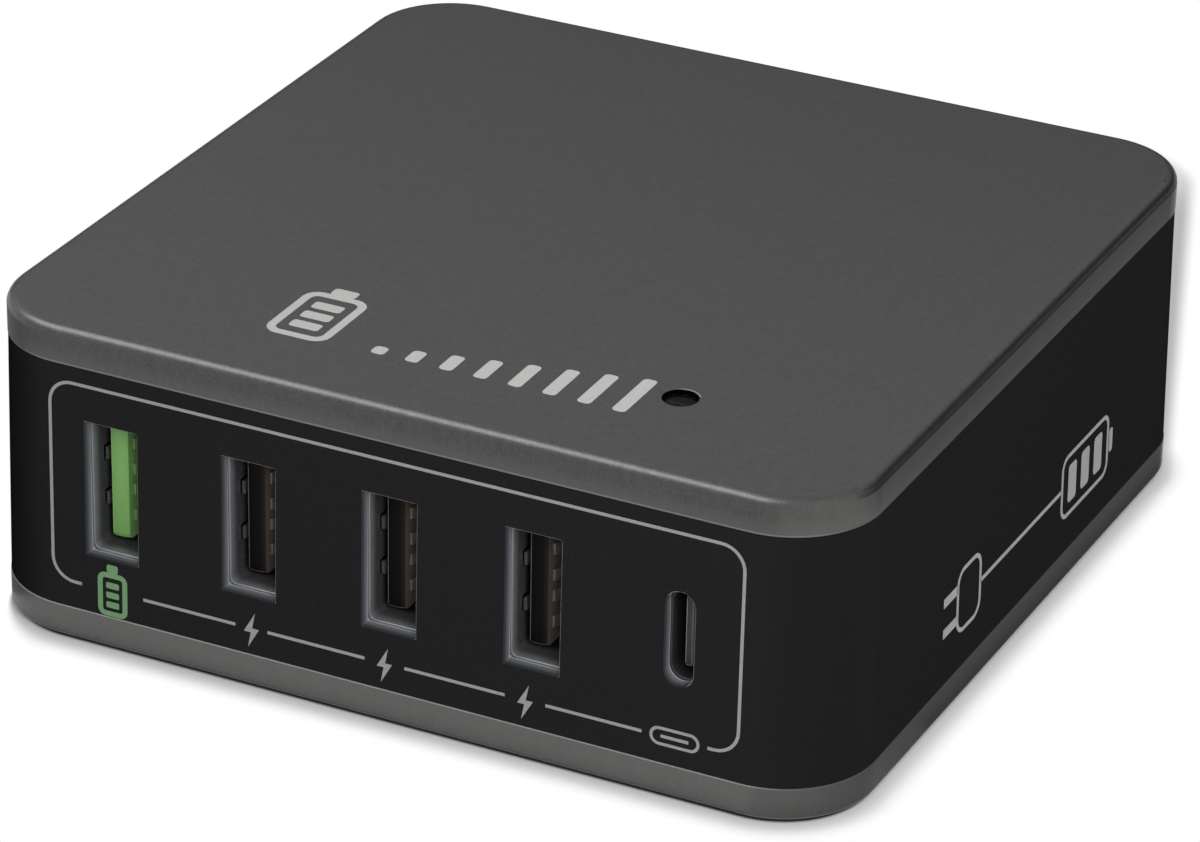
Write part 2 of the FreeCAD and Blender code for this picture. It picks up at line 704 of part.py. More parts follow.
def inlet_pin(x):
    r = PIN_DIA / 2
    tip = inlet_face - PIN_SETBACK - r
    pin = rod_back(x, inlet_z, inlet_inner - PIN_TAIL, tip, PIN_DIA)
    return joined([pin, Part.makeSphere(r, Vector(x, tip, inlet_z)),
                   main_lead(x, inlet_inner - PIN_TAIL / 2, inlet_z)])


save("mains_inlet", mains_inlet())
save_group("inlet_pins", [inlet_pin(side * PIN_SPACING / 2) for side in (-1, 1)])


# Parts of the main board: three lanes between the port board and the inlet, one beside the inlet

choke_span = CHOKE_DIA + 2 * CHOKE_WIRE
lane_depths = [DRUM_DIA, CORE_DEEP, max(BULK_DIA, choke_span)]
lanes = spread(lane_depths, board_front + LANE_FRONT, inlet_inner - PIN_TAIL - INLET_CLEAR)
output_lane, converter_lane, bulk_lane = lanes
filter_lane = board_back - LANE_BACK - FILTER_WIDE / 2
lane_side = board_side - LANE_SIDE
inlet_side = INLET_LONG / 2 + INLET_CLEAR


def cased_part(x, y, size_x, size_y, height, pitch):
    """A moulded box with round upright edges and two leads."""
    case = standing_block(x, y, board_top, size_x, size_y, height)
    case = case.makeFillet(CASE_EDGE_R, upright_edges(case))
    return joined([case] + [main_lead(x + side * pitch / 2, y, board_top) for side in (-1, 1)])


def disc_part(x, y, dia, thick):
    """A coated disc that stands on edge on two leads."""
    disc = rod_back(x, board_top + dia / 2, y - thick / 2, y + thick / 2, dia)
    return joined([disc] + [main_lead(x + side * dia / 4, y, board_top + dia / 2) for side in (-1, 1)])


def can(x, y, dia, height):
    """A round aluminium can with a crimped neck and two leads."""
    r = dia / 2
    end = board_top + height
    neck = board_top + CAN_CRIMP_HEIGHT
    body = turned(x, y, [(0, board_top), (r - CAN_EDGE_R, board_top), (r, board_top + CAN_EDGE_R),
                         (r, neck - CAN_CRIMP), (r - CAN_CRIMP, neck), (r, neck + CAN_CRIMP),
                         (r, end - CAN_EDGE_R), (r - CAN_EDGE_R, end), (0, end)])
    return joined([body] + [main_lead(x + side * r / 2, y, board_top) for side in (-1, 1)])


def bridge_rectifier(x, y):
    left = x - BRIDGE_LONG / 2
    right = x + BRIDGE_LONG / 2
    body = standing_block(x, y, board_top, BRIDGE_LONG, BRIDGE_THICK, BRIDGE_HEIGHT)
    corner = Part.makePolygon([Vector(right, 0, board_top + BRIDGE_HEIGHT),
                               Vector(right - BRIDGE_CORNER, 0, board_top + BRIDGE_HEIGHT),
                               Vector(right, 0, board_top + BRIDGE_HEIGHT - BRIDGE_CORNER),
                               Vector(right, 0, board_top + BRIDGE_HEIGHT)])
    cut = Part.Face(corner).extrude(Vector(0, BRIDGE_THICK, 0))
    cut.translate(Vector(0, y - BRIDGE_THICK / 2, 0))
    row = spread([LEAD_SIZE] * BRIDGE_LEADS, left + LEAD_SIZE, right - LEAD_SIZE)
    leads = [main_lead(px, y, board_top) for px in row]
    return joined([body.cut(cut)] + leads)


def choke_ring(grown):
    """The ring of the choke's core, grown by some thickness all round, on the origin."""
    outer = CHOKE_DIA / 2 + grown
    inner = CHOKE_BORE / 2 - grown
    half = CHOKE_HEIGHT / 2 + grown
    return [Vector(inner, 0, -half), Vector(outer, 0, -half), Vector(outer, 0, half), Vector(inner, 0, half)]


def choke_core(x, y):
    points = choke_ring(0)
    core = Part.Face(Part.makePolygon(points + points[:1])).revolve(Vector(), Z_AXIS, 360)
    core.translate(Vector(x, y, board_top + CHOKE_WIRE + CHOKE_HEIGHT / 2))
    return core


def choke_winding(x, y, side):
    """Wire round one half of the ring, with its two ends led into the board."""
    points = choke_ring(CHOKE_WIRE)
    coil = Part.Face(Part.makePolygon(points + points[:1])).revolve(Vector(), Z_AXIS, CHOKE_ARC)
    coil.rotate(Vector(), Z_AXIS, -CHOKE_ARC / 2 + (180 if side < 0 else 0))
    coil.translate(Vector(x, y, board_top + CHOKE_WIRE + CHOKE_HEIGHT / 2))
    reach = (CHOKE_DIA / 2 + CHOKE_BORE / 2) / 2
    ends = [main_lead(x + side * reach, y + way * reach / 2, board_top + CHOKE_WIRE) for way in (-1, 1)]
    return joined([coil] + ends).cut(choke_core(x, y))


fuse_x, varistor_x = spread([FUSE_LONG, VARISTOR_DIA], -notch_x, -inlet_side)
filter_x = (inlet_side + notch_x) / 2
bulk_1_x, bulk_2_x, choke_x, bridge_x = spread([BULK_DIA, BULK_DIA, choke_span, BRIDGE_LONG],
                                               -lane_side, lane_side)
save("fuse", cased_part(fuse_x, filter_lane, FUSE_LONG, FUSE_WIDE, FUSE_HEIGHT, FUSE_LONG / 2))
save("varistor", disc_part(varistor_x, filter_lane, VARISTOR_DIA, VARISTOR_THICK))
save("filter_capacitor", cased_part(filter_x, filter_lane, FILTER_LONG, FILTER_WIDE, FILTER_HEIGHT,
                                    FILTER_LONG - 2 * CASE_EDGE_R - 2 * LEAD_SIZE))
save("bulk_capacitor_1", can(bulk_1_x, bulk_lane, BULK_DIA, BULK_HEIGHT))
save("bulk_capacitor_2", can(bulk_2_x, bulk_lane, BULK_DIA, BULK_HEIGHT))
save("choke_core", choke_core(choke_x, bulk_lane))
save("choke_winding_1", choke_winding(choke_x, bulk_lane, -1))
save("choke_winding_2", choke_winding(choke_x, bulk_lane, 1))
save("bridge_rectifier", bridge_rectifier(bridge_x, bulk_lane))


# The converter: a transformer between two finned heat sinks, each with a device clamped on it

core_z = board_top + BOBBIN_RAIL + BOBBIN_FLANGE / 2
window_deep = CORE_DEEP - 2 * CORE_YOKE
tube_wide = CORE_LEG + 2 * BOBBIN_GAP + 2 * BOBBIN_WALL
tube_high = CORE_THICK + 2 * BOBBIN_GAP + 2 * BOBBIN_WALL


def about_leg(x, y, size_x, size_y, size_z):
    return standing_block(x, y, core_z - size_z / 2, size_x, size_y, size_z)


def transformer_core(x, y):
    """Two E halves as one: a frame with a leg down its middle."""
    window = (CORE_LONG - CORE_LEG - 2 * CORE_SIDE_LEG) / 2
    core = about_leg(x, y, CORE_LONG, CORE_DEEP, CORE_THICK)
    gaps = [about_leg(x + side * (CORE_LEG + window) / 2, y, window, window_deep, CORE_THICK)
            for side in (-1, 1)]
    return core.cut(gaps)


def transformer_bobbin(x, y):
    """A tube round the leg with a flange at each end, on two rails that hold the pins."""
    flange_wide = CORE_LONG - 2 * CORE_SIDE_LEG - 2 * BOBBIN_GAP
    deep = window_deep - 2 * BOBBIN_GAP
    pieces = [about_leg(x, y, tube_wide, deep, tube_high)]
    for side in (-1, 1):
        flange_y = y + side * (deep - BOBBIN_WALL) / 2
        pieces.append(about_leg(x, flange_y, flange_wide, BOBBIN_WALL, BOBBIN_FLANGE))
        rail_y = y + side * (deep / 2 - BOBBIN_RAIL / 2)
        pieces.append(standing_block(x, rail_y, board_top, flange_wide, BOBBIN_RAIL, BOBBIN_RAIL))
        row = spread([LEAD_SIZE] * BOBBIN_PINS, x - flange_wide / 2, x + flange_wide / 2)
        pieces += [main_lead(px, rail_y, board_top) for px in row]
    leg_room = about_leg(x, y, CORE_LEG + 2 * BOBBIN_GAP, deep, CORE_THICK + 2 * BOBBIN_GAP)
    return joined(pieces).cut(leg_room)


def transformer_winding(x, y):
    length = window_deep - 2 * BOBBIN_GAP - 2 * BOBBIN_WALL
    wide = CORE_LONG - 2 * CORE_SIDE_LEG - 2 * BOBBIN_GAP - 2 * WINDING_INSET
    high = BOBBIN_FLANGE - 2 * WINDING_INSET
    coil = level_prism(x, core_z, wide, high, high / 4, y - length / 2, y + length / 2)
    return coil.cut(about_leg(x, y, tube_wide, length, tube_high))


def heat_sink(x, y, side):
    """A plate that stands on the board, with upright fins on the side away from the device."""
    plate_x = x + side * SINK_PLATE / 2
    pieces = [standing_block(plate_x, y, board_top, SINK_PLATE, SINK_LONG, SINK_HEIGHT)]
    fin_x = x + side * (SINK_PLATE + SINK_FIN / 2)
    for fin_y in spread([SINK_FIN_THICK] * SINK_FINS, y - SINK_LONG / 2, y + SINK_LONG / 2):
        pieces.append(standing_block(fin_x, fin_y, board_top, SINK_FIN, SINK_FIN_THICK, SINK_HEIGHT))
    return joined(pieces)


def clamped_device(x, y, side):
    """A moulded power device with its tab flat on the plate of a heat sink, on three leads."""
    bottom = board_top + DEVICE_STANDOFF
    body = standing_block(x - side * DEVICE_THICK / 2, y, bottom, DEVICE_THICK, DEVICE_WIDE, DEVICE_HEIGHT)
    tab = standing_block(x - side * DEVICE_TAB_THICK / 2, y, bottom + DEVICE_HEIGHT,
                         DEVICE_TAB_THICK, DEVICE_WIDE, DEVICE_TAB)
    hole = Part.makeCylinder(DEVICE_TAB / 4, DEVICE_THICK,
                             Vector(x - DEVICE_THICK / 2, y, bottom + DEVICE_HEIGHT + DEVICE_TAB / 2), X_AXIS)
    leads = [main_lead(x - side * DEVICE_THICK / 2, y + step * DEVICE_LEAD_PITCH, bottom)
             for step in (-1, 0, 1)]
    return joined([body, tab.cut(hole)] + leads)


sink_wide = SINK_PLATE + SINK_FIN + DEVICE_THICK
primary_x, transformer_x, secondary_x, output_1_x, output_2_x = spread(
    [sink_wide, CORE_LONG, sink_wide, OUTPUT_DIA, OUTPUT_DIA], -lane_side, lane_side)
primary_face = primary_x - sink_wide / 2 + SINK_FIN + SINK_PLATE
secondary_face = secondary_x + sink_wide / 2 - SINK_FIN - SINK_PLATE
save("transformer_core", transformer_core(transformer_x, converter_lane))
save("transformer_bobbin", transformer_bobbin(transformer_x, converter_lane))
save("transformer_winding", transformer_winding(transformer_x, converter_lane))
save("primary_heat_sink", heat_sink(primary_face, converter_lane, -1))
save("switching_transistor", clamped_device(primary_face, converter_lane, -1))
save("secondary_heat_sink", heat_sink(secondary_face, converter_lane, 1))
save("output_rectifier", clamped_device(secondary_face, converter_lane, 1))
save("output_capacitor_1", can(output_1_x, converter_lane, OUTPUT_DIA, OUTPUT_HEIGHT))
save("output_capacitor_2", can(output_2_x, converter_lane, OUTPUT_DIA, OUTPUT_HEIGHT))


# The control and output parts in the front lane, and one controller for each port

def chip():
    """A small moulded circuit with legs along two sides, flat on the XY plane."""
    legs = []
    for leg_x in spread([CHIP_LEG] * CHIP_LEGS, -CHIP_LONG / 2 + CHIP_LEG, CHIP_LONG / 2 - CHIP_LEG):
        legs.append(standing_block(leg_x, 0, 0, CHIP_LEG, CHIP_WIDE + 2 * CHIP_LEG_REACH, CHIP_LEG))
    return joined([standing_block(0, 0, 0, CHIP_LONG, CHIP_WIDE, CHIP_HEIGHT)] + legs)


def power_controller(x, y):
    body = chip()
    body.translate(Vector(x, y, board_top))
    return body


def port_controller(shell_side):
    """The same chip on the front of the port board, to the right of its port's shell."""
    body = chip()
    body.rotate(Vector(), X_AXIS, 90)
    body.translate(Vector(shell_side + CHIP_CLEAR + CHIP_LONG / 2, port_board_front, port_z))
    return body


def optocoupler(x, y):
    body = standing_block(x, y, board_top, OPTO_LONG, OPTO_WIDE, OPTO_HEIGHT)
    legs = []
    for side_x in (-1, 1):
        for side_y in (-1, 1):
            legs.append(main_lead(x + side_x * OPTO_LONG / 4, y + side_y * OPTO_WIDE / 3, board_top))
    return joined([body] + legs)


def inductor_core(x, y):
    """A ferrite drum: a neck between two flanges."""
    r = DRUM_DIA / 2
    neck = DRUM_CORE_DIA / 2
    foot = board_top + DRUM_FLANGE
    head = board_top + DRUM_HEIGHT - DRUM_FLANGE
    return turned(x, y, [(0, board_top), (r, board_top), (r, foot), (neck, foot), (neck, head), (r, head),
                         (r, board_top + DRUM_HEIGHT), (0, board_top + DRUM_HEIGHT)])


def inductor_winding(x, y):
    z0 = board_top + DRUM_FLANGE
    z1 = board_top + DRUM_HEIGHT - DRUM_FLANGE
    return rod(x, y, z0, z1, DRUM_DIA - 2 * DRUM_WIRE_INSET).cut(rod(x, y, z0, z1, DRUM_CORE_DIA))


control_x, opto_x, safety_x, inductor_x = spread([CHIP_LONG, OPTO_LONG, DISC_DIA, DRUM_DIA],
                                                 -lane_side, lane_side)
save("power_controller", power_controller(control_x, output_lane))
save("optocoupler", optocoupler(opto_x, output_lane))
save("safety_capacitor", disc_part(safety_x, output_lane, DISC_DIA, DISC_THICK))
save("inductor_core", inductor_core(inductor_x, output_lane))
save("inductor_winding", inductor_winding(inductor_x, output_lane))
shell_sides = [x + A_MOUTH_SHORT / 2 + SHEET for x in usb_a_places]
shell_sides.append(last_port + C_MOUTH_SHORT / 2 + SHEET)
for number, shell_side in enumerate(shell_sides, 1):
    save("port_controller_%d" % number, port_controller(shell_side))


# The header between the boards, and the boards last, because they take the holes of all the leads

header_y = board_front + HEADER_SETBACK + HEADER_SIZE / 2
header_z = board_top + HEADER_SIZE / 2
header_long = HEADER_PIN_COUNT * HEADER_PITCH
header_places = spread([HEADER_PITCH] * HEADER_PIN_COUNT, -header_long / 2, header_long / 2)


def header_bar():
    bar = standing_block(0, header_y, board_top, header_long, HEADER_SIZE, HEADER_SIZE)
    return bar.cut([header_pin_run(x, HEADER_PIN + 2 * INSERT_GAP) for x in header_places])


def header_pin_run(x, size):
    return block(x - size / 2, x + size / 2, port_board_front - LEAD_TAIL, header_y + HEADER_SIZE,
                 header_z - size / 2, header_z + size / 2)


def header_pin(x):
    """A square pin from the port board through the bar, bent down into the main board."""
    half = HEADER_PIN / 2
    port_board_holes.append((x - half, x + half, header_z - half, header_z + half))
    tail = main_lead(x, header_y + HEADER_SIZE - LEAD_SIZE / 2, header_z - half)
    return joined([header_pin_run(x, HEADER_PIN), tail])


def main_board():
    board = block(-board_side, board_side, board_front, board_back, board_under, board_top)
    cuts = [block(-board_side, -notch_x, notch_y, board_back, board_under, board_top),
            block(notch_x, board_side, notch_y, board_back, board_under, board_top)]
    cuts += [rod(x, y, board_under, board_top, BOARD_SCREW_DIA + 2 * SCREW_GAP)
             for x, y in board_screw_places]
    hole = LEAD_SIZE + 2 * LEAD_GAP
    cuts += [standing_block(x, y, board_under, hole, hole, BOARD_THICK) for x, y in main_board_holes]
    return board.cut(cuts)


def port_board():
    board = block(port_board_left, port_board_right, port_board_front, port_board_back, floor, port_board_top)
    cuts = [block(x0 - LEAD_GAP, x1 + LEAD_GAP, port_board_front, port_board_back,
                  z0 - LEAD_GAP, z1 + LEAD_GAP) for x0, x1, z0, z1 in port_board_holes]
    return board.cut(cuts)


save("header_bar", header_bar())
save_group("header_pins", [header_pin(x) for x in header_places])
save("main_board", main_board())
save("port_board", port_board())
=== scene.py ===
import math

import bmesh
import bpy
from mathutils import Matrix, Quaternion, Vector


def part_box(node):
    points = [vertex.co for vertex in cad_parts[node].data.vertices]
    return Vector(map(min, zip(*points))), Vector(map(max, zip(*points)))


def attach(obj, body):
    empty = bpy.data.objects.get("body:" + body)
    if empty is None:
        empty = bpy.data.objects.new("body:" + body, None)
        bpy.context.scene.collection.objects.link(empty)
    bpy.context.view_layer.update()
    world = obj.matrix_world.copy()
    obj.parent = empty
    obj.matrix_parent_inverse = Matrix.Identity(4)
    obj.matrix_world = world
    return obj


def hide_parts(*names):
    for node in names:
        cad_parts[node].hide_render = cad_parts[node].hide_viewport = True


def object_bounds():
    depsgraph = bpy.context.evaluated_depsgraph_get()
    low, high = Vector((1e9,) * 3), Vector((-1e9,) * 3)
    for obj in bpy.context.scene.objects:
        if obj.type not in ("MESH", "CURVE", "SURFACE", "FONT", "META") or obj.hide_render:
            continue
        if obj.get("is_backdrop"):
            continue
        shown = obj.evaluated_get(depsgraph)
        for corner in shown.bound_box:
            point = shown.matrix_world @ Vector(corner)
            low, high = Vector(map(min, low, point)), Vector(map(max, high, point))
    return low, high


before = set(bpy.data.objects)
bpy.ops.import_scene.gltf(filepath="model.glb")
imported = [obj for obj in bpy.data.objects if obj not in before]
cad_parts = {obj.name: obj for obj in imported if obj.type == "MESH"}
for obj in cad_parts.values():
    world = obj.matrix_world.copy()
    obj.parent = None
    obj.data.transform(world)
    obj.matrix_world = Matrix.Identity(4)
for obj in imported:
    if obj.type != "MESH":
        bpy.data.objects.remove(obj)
cad_low, cad_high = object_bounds()
MM = 0.001


# Bottom cover: a shallow moulded tray that stands on the feet and carries both boards.
# Its outside is lacquered dark grey with fine metal flakes, and its rim is painted a little brighter, partly
# as wear and partly as a highlight.

class Shade:
    """A socket of a node tree. Arithmetic on it adds Math nodes, and add() adds any other node."""

    def __init__(self, tree, socket=None):
        self.tree = tree
        self.socket = socket

    def add(self, kind, settings=None, sockets=None, output=0):
        node = self.tree.nodes.new("ShaderNode" + kind)
        for name, value in (settings or {}).items():
            setattr(node, name, value)
        for name, value in (sockets or {}).items():
            if isinstance(value, Shade):
                self.tree.links.new(value.socket, node.inputs[name])
            else:
                node.inputs[name].default_value = value
        return Shade(self.tree, node.outputs[output])

    def maths(self, operation, *others):
        return self.add("Math", {"operation": operation}, dict(enumerate((self, *others))))

    def __add__(self, other):
        return self.maths("ADD", other)

    def __sub__(self, other):
        return self.maths("SUBTRACT", other)

    def __rsub__(self, other):
        return self * -1 + other

    def __mul__(self, other):
        return self.maths("MULTIPLY", other)

    __radd__ = __add__
    __rmul__ = __mul__


def finish(name, look, **fixed):
    """A material: fixed values go on the shader's own sockets, and look() links those that vary."""
    material = bpy.data.materials.new(name)
    material.use_nodes = True
    tree = material.node_tree
    shader = tree.nodes["Principled BSDF"]
    for socket, value in fixed.items():
        shader.inputs[socket.replace("_", " ")].default_value = value
    place = Shade(tree).add("TexCoord", output="Object")
    for socket, value in look(place).items():
        tree.links.new(value.socket, shader.inputs[socket])
    return material


def tint(red, green, blue):
    """A colour given by its screen levels, 0 to 255."""
    levels = [level / 255 for level in (red, green, blue)]
    return [x / 12.92 if x < 0.04045 else ((x + 0.055) / 1.055) ** 2.4 for x in levels] + [1.0]


def grain(place, size, detail=2.0):
    return place.add("TexNoise", {}, {"Vector": place, "Scale": 1 / size, "Detail": detail})


def stretched(place, x, y, z):
    return place.add("VectorMath", {"operation": "MULTIPLY"}, {0: place, 1: (x, y, z)})


def along(place, axis):
    return place.add("SeparateXYZ", {}, {"Vector": place}, axis)


def ramp(value, start, end):
    """Goes smoothly from 0 at start to 1 at end."""
    return value.add("MapRange", {"interpolation_type": "SMOOTHSTEP"},
                     {"Value": value, "From Min": start, "From Max": end})


def blend(factor, low, high):
    mixed = {"Factor": factor, 6: low, 7: high}
    return factor.add("Mix", {"data_type": "RGBA"}, mixed, 2)


def dents(height, depth):
    return height.add("Bump", {}, {"Strength": 1.0, "Distance": depth, "Height": height})


def dress(material, *nodes):
    for node in nodes:
        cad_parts[node].material_slots[0].material = material


band_low, band_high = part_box("middle_band")


def flake_lacquer(place):
    edge_highlight = 0.22 * MM
    side_low = 2.0 * MM
    hole_r = 1.62 * MM
    hole = sum(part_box("indicator_lens"), Vector()) / 2
    x = along(place, "X") - hole.x
    y = along(place, "Y") - hole.y
    height = along(place, "Z")
    flakes = grain(place, 0.13 * MM, 1)
    drift = grain(stretched(place, 1, 1, 0.3), 0.7 * MM, 3)
    above_rim = (height - band_high.z).maths("ABSOLUTE")
    facing = place.add("NewGeometry", output="Normal")
    in_front = ramp(along(facing, "Y"), -0.4, -0.8)
    # Painted sheen: the lid's rounded corners are painted lighter.
    corner_light_and_shade = ramp((along(facing, "X") * along(facing, "Y")).maths("ABSOLUTE"), 0.15, 0.45)
    on_lid = ramp(height, band_high.z, band_high.z + 0.5 * MM)
    # Painted highlight: the lid's front-facing lower rim, and faintly the tray's rim, are painted lighter;
    # the tray's rim is also rougher from wear.
    lid_rim_highlight = 0.8 * ramp(above_rim, 1.5 * edge_highlight, edge_highlight) * in_front
    # Painted reflection: the lowest 2 mm of the lid's sides are painted lighter.
    lid_foot_sheen = 0.5 * ramp(above_rim, side_low, 0.2 * side_low)
    tray_rim_wear_and_highlight = ramp((height - band_low.z).maths("ABSOLUTE"), edge_highlight, 0)
    # The tray is lighter than the lid, and painted darker towards its foot as shade.
    tray_tone_and_shade = ramp(height, band_low.z + edge_highlight, band_low.z) * (0.25 + 0.35 * ramp(height, 0.0, 2.8 * MM))
    from_hole = (x * x + y * y).maths("SQRT")
    # Painted highlight: a pale crescent on the far edge of the lid's window.
    hole_edge_glint = on_lid * ramp(from_hole, hole_r + 0.25 * MM, hole_r + 0.05 * MM)
    hole_edge_glint = hole_edge_glint * ramp(0.24 * x + y, 1.1 * MM, 1.6 * MM)
    # Painted shade: the wall of the lid's window is painted near black.
    hole_wall_shade = on_lid * ramp(from_hole, hole_r + 0.04 * MM, hole_r + 0.01 * MM)
    coat = blend(0.7 * flakes + 0.3 * drift, tint(46, 46, 46), tint(96, 96, 95))
    coat = blend(tray_tone_and_shade, coat, tint(102, 102, 101))
    coat = blend(lid_foot_sheen, coat, tint(92, 92, 91))
    coat = blend(0.2 * on_lid * corner_light_and_shade, coat, tint(118, 118, 115))
    coat = blend(lid_rim_highlight.maths("MAXIMUM", 0.15 * tray_rim_wear_and_highlight), coat, tint(118, 118, 115))
    coat = blend(hole_edge_glint, coat, tint(170, 170, 168))
    coat = blend(hole_wall_shade, coat, tint(10, 10, 10))
    return {"Base Color": coat, "Roughness": 0.3 + 0.1 * flakes + 0.3 * tray_rim_wear_and_highlight,
            "Normal": dents(flakes, 0.003 * MM)}


lacquer = finish("flake_lacquer", flake_lacquer, Metallic=0.9)
dress(lacquer, "bottom_cover")


# Main board: glass-fibre laminate under green solder mask, screwed to the standoffs of the tray.
# Copper tracks show through the mask as paler green.

def solder_mask(place):
    weave = grain(place, 0.25 * MM, 2)
    tracks = place.add("TexBrick", {"offset": 0.5}, {"Vector": place, "Scale": 1 / (6 * MM),
                                                     "Mortar Size": 0.04, "Mortar Smooth": 0.1}, "Fac")
    mask = blend(tracks, tint(24, 92, 52), tint(58, 132, 76))
    mask = blend(0.3 * weave, mask, tint(12, 60, 36))
    return {"Base Color": mask, "Roughness": 0.32 + 0.2 * weave, "Normal": dents(tracks, 0.03 * MM)}


mask_green = finish("solder_mask", solder_mask)
dress(mask_green, "main_board")


# Cased and coated parts of the mains side, soldered into the main board by their leads:
# moulded boxes, discs dipped in blue resin, cans in a dark shrink sleeve, a moulded rectifier.

def moulded(low, high, size=0.3 * MM, rough=0.45):
    """The look of a moulded plastic: two close tones and a fine eroded grain."""
    def look(place):
        specks = grain(place, size, 3)
        return {"Base Color": blend(specks, low, high), "Roughness": rough + 0.2 * specks,
                "Normal": dents(specks, 0.02 * MM)}
    return look


def dipped_resin(place):
    runs = grain(stretched(place, 1, 1, 0.3), 1.5 * MM, 2)
    return {"Base Color": blend(runs, tint(38, 78, 140), tint(70, 118, 186)), "Roughness": 0.2 + 0.2 * runs,
            "Normal": dents(runs, 0.15 * MM)}


def shrink_sleeve(place):
    """A dark sleeve, shrunk on the can with faint upright folds."""
    folds = grain(stretched(place, 1, 1, 0.15), 0.8 * MM, 2)
    return {"Base Color": blend(folds, tint(26, 28, 44), tint(52, 56, 84)), "Roughness": 0.25 + 0.2 * folds,
            "Normal": dents(folds, 0.05 * MM)}


case_yellow = finish("case_yellow", moulded(tint(196, 158, 46), tint(222, 186, 74)))
resin_blue = finish("dipped_resin", dipped_resin)
sleeve = finish("shrink_sleeve", shrink_sleeve)
epoxy_black = finish("moulded_epoxy", moulded(tint(26, 26, 27), tint(50, 50, 51), 0.2 * MM, 0.5))
dress(case_yellow, "fuse", "filter_capacitor")
dress(resin_blue, "varistor", "safety_capacitor")
dress(sleeve, "bulk_capacitor_1", "bulk_capacitor_2", "output_capacitor_1", "output_capacitor_2")
dress(epoxy_black, "bridge_rectifier", "switching_transistor", "output_rectifier", "optocoupler",
      "power_controller")


# Wound parts: sintered ferrite cores, enamelled copper wire laid in close turns, and a taped
# winding on a black bobbin. They are soldered into the main board like the rest.

def sintered(place):
    pores = grain(place, 0.12 * MM, 3)
    return {"Base Color": blend(pores, tint(48, 48, 51), tint(84, 84, 88)), "Roughness": 0.55 + 0.25 * pores,
            "Normal": dents(pores, 0.03 * MM)}


def wire_turns(place):
    turn = 0.45 * MM
    # Painted light and shade: each turn is lighter on its crest and darker in the grooves between turns.
    crest_light_and_shade = 0.5 + 0.5 * (along(place, "Z") * (2 * math.pi / turn)).maths("SINE")
    return {"Base Color": blend(crest_light_and_shade, tint(120, 58, 26), tint(206, 122, 66)),
            "Roughness": 0.45 - 0.2 * crest_light_and_shade, "Normal": dents(crest_light_and_shade, 0.1 * MM)}


def wrapped_tape(place):
    layer = 2.2 * MM
    wrap = grain(stretched(place, 0.2, 1, 0.2), 0.6 * MM, 1)
    edge = ramp((along(place, "Y") * (1 / layer)).maths("FRACT"), 0.9, 1.0)
    tape = blend(wrap, tint(206, 168, 44), tint(238, 206, 92))
    return {"Base Color": blend(0.6 * edge, tape, tint(150, 112, 20)), "Roughness": 0.22 + 0.2 * wrap,
            "Normal": dents(edge, 0.05 * MM)}


ferrite = finish("sintered_ferrite", sintered)
copper = finish("enamelled_copper", wire_turns, Metallic=0.85)
tape = finish("wrapped_tape", wrapped_tape)
bobbin_black = finish("bobbin_black", moulded(tint(28, 28, 28), tint(46, 46, 46)))
dress(ferrite, "choke_core", "transformer_core", "inductor_core")
dress(copper, "choke_winding_1", "choke_winding_2", "inductor_winding")
dress(tape, "transformer_winding")
dress(bobbin_black, "transformer_bobbin")


# Heat sinks: extruded aluminium with draw lines along the fins. The power devices are clamped on.

def drawn_metal(low, high, way, rough):
    """The look of drawn or rolled metal: fine lines along one axis."""
    def look(place):
        lines = grain(stretched(place, *way), 0.1 * MM, 3)
        return {"Base Color": blend(lines, low, high), "Roughness": rough + 0.2 * lines,
                "Normal": dents(lines, 0.006 * MM)}
    return look


extruded = drawn_metal(tint(176, 178, 180), tint(214, 215, 216), (1, 1, 0.05), 0.3)
aluminium = finish("extruded_aluminium", extruded, Metallic=1.0)
dress(aluminium, "primary_heat_sink", "secondary_heat_sink")


# Port board and its header: an upright board in the tray's guides that carries the row of ports.
# Ten square pins through a black bar join it to the main board, and small circuits drive the ports.

drawn_nickel = drawn_metal(tint(186, 184, 178), tint(226, 224, 218), (1, 0.1, 1), 0.16)
nickel = finish("nickel_plate", drawn_nickel, Metallic=1.0)
dress(mask_green, "port_board")
dress(bobbin_black, "header_bar")
dress(nickel, "header_pins")
dress(epoxy_black, *["port_controller_%d" % number for number in range(1, 6)])


# Shells of the large ports: folded from nickel-plated sheet, with a rolled lip at the mouth and
# two spring fingers in each long wall. Tabs at the back are soldered into the port board.

def round_outline(width, height, radius, steps=8):
    """Points round a rectangle with round corners, about the origin."""
    points = []
    for quarter, (su, sv) in enumerate(((1, 1), (-1, 1), (-1, -1), (1, -1))):
        for step in range(steps + 1):
            angle = math.pi / 2 * (quarter + step / steps)
            point = Vector((su * (width / 2 - radius) + radius * math.cos(angle),
                            sv * (height / 2 - radius) + radius * math.sin(angle)))
            if not points or all((point - other).length > 1e-7 for other in (points[0], points[-1])):
                points.append(point)
    return points


def skin(mesh, rings, closed=False):
    """Faces over a row of rings of as many points each, joined end to end or capped."""
    rows = [[mesh.verts.new(point) for point in ring] for ring in rings]
    pairs = list(zip(rows, rows[1:]))
    if closed:
        pairs.append((rows[-1], rows[0]))
    else:
        mesh.faces.new(rows[0][::-1])
        mesh.faces.new(rows[-1])
    for this, following in pairs:
        for i in range(len(this)):
            mesh.faces.new((this[i - 1], this[i], following[i], following[i - 1]))
    return mesh


def whole(mesh):
    """Joins doubled points and turns all faces outwards."""
    bmesh.ops.remove_doubles(mesh, verts=mesh.verts, dist=1e-7)
    bmesh.ops.recalc_face_normals(mesh, faces=mesh.faces)
    return mesh


def placed(name, mesh):
    data = bpy.data.meshes.new(name)
    whole(mesh).to_mesh(data)
    mesh.free()
    shown = bpy.data.objects.new(name, data)
    bpy.context.scene.collection.objects.link(shown)
    return shown


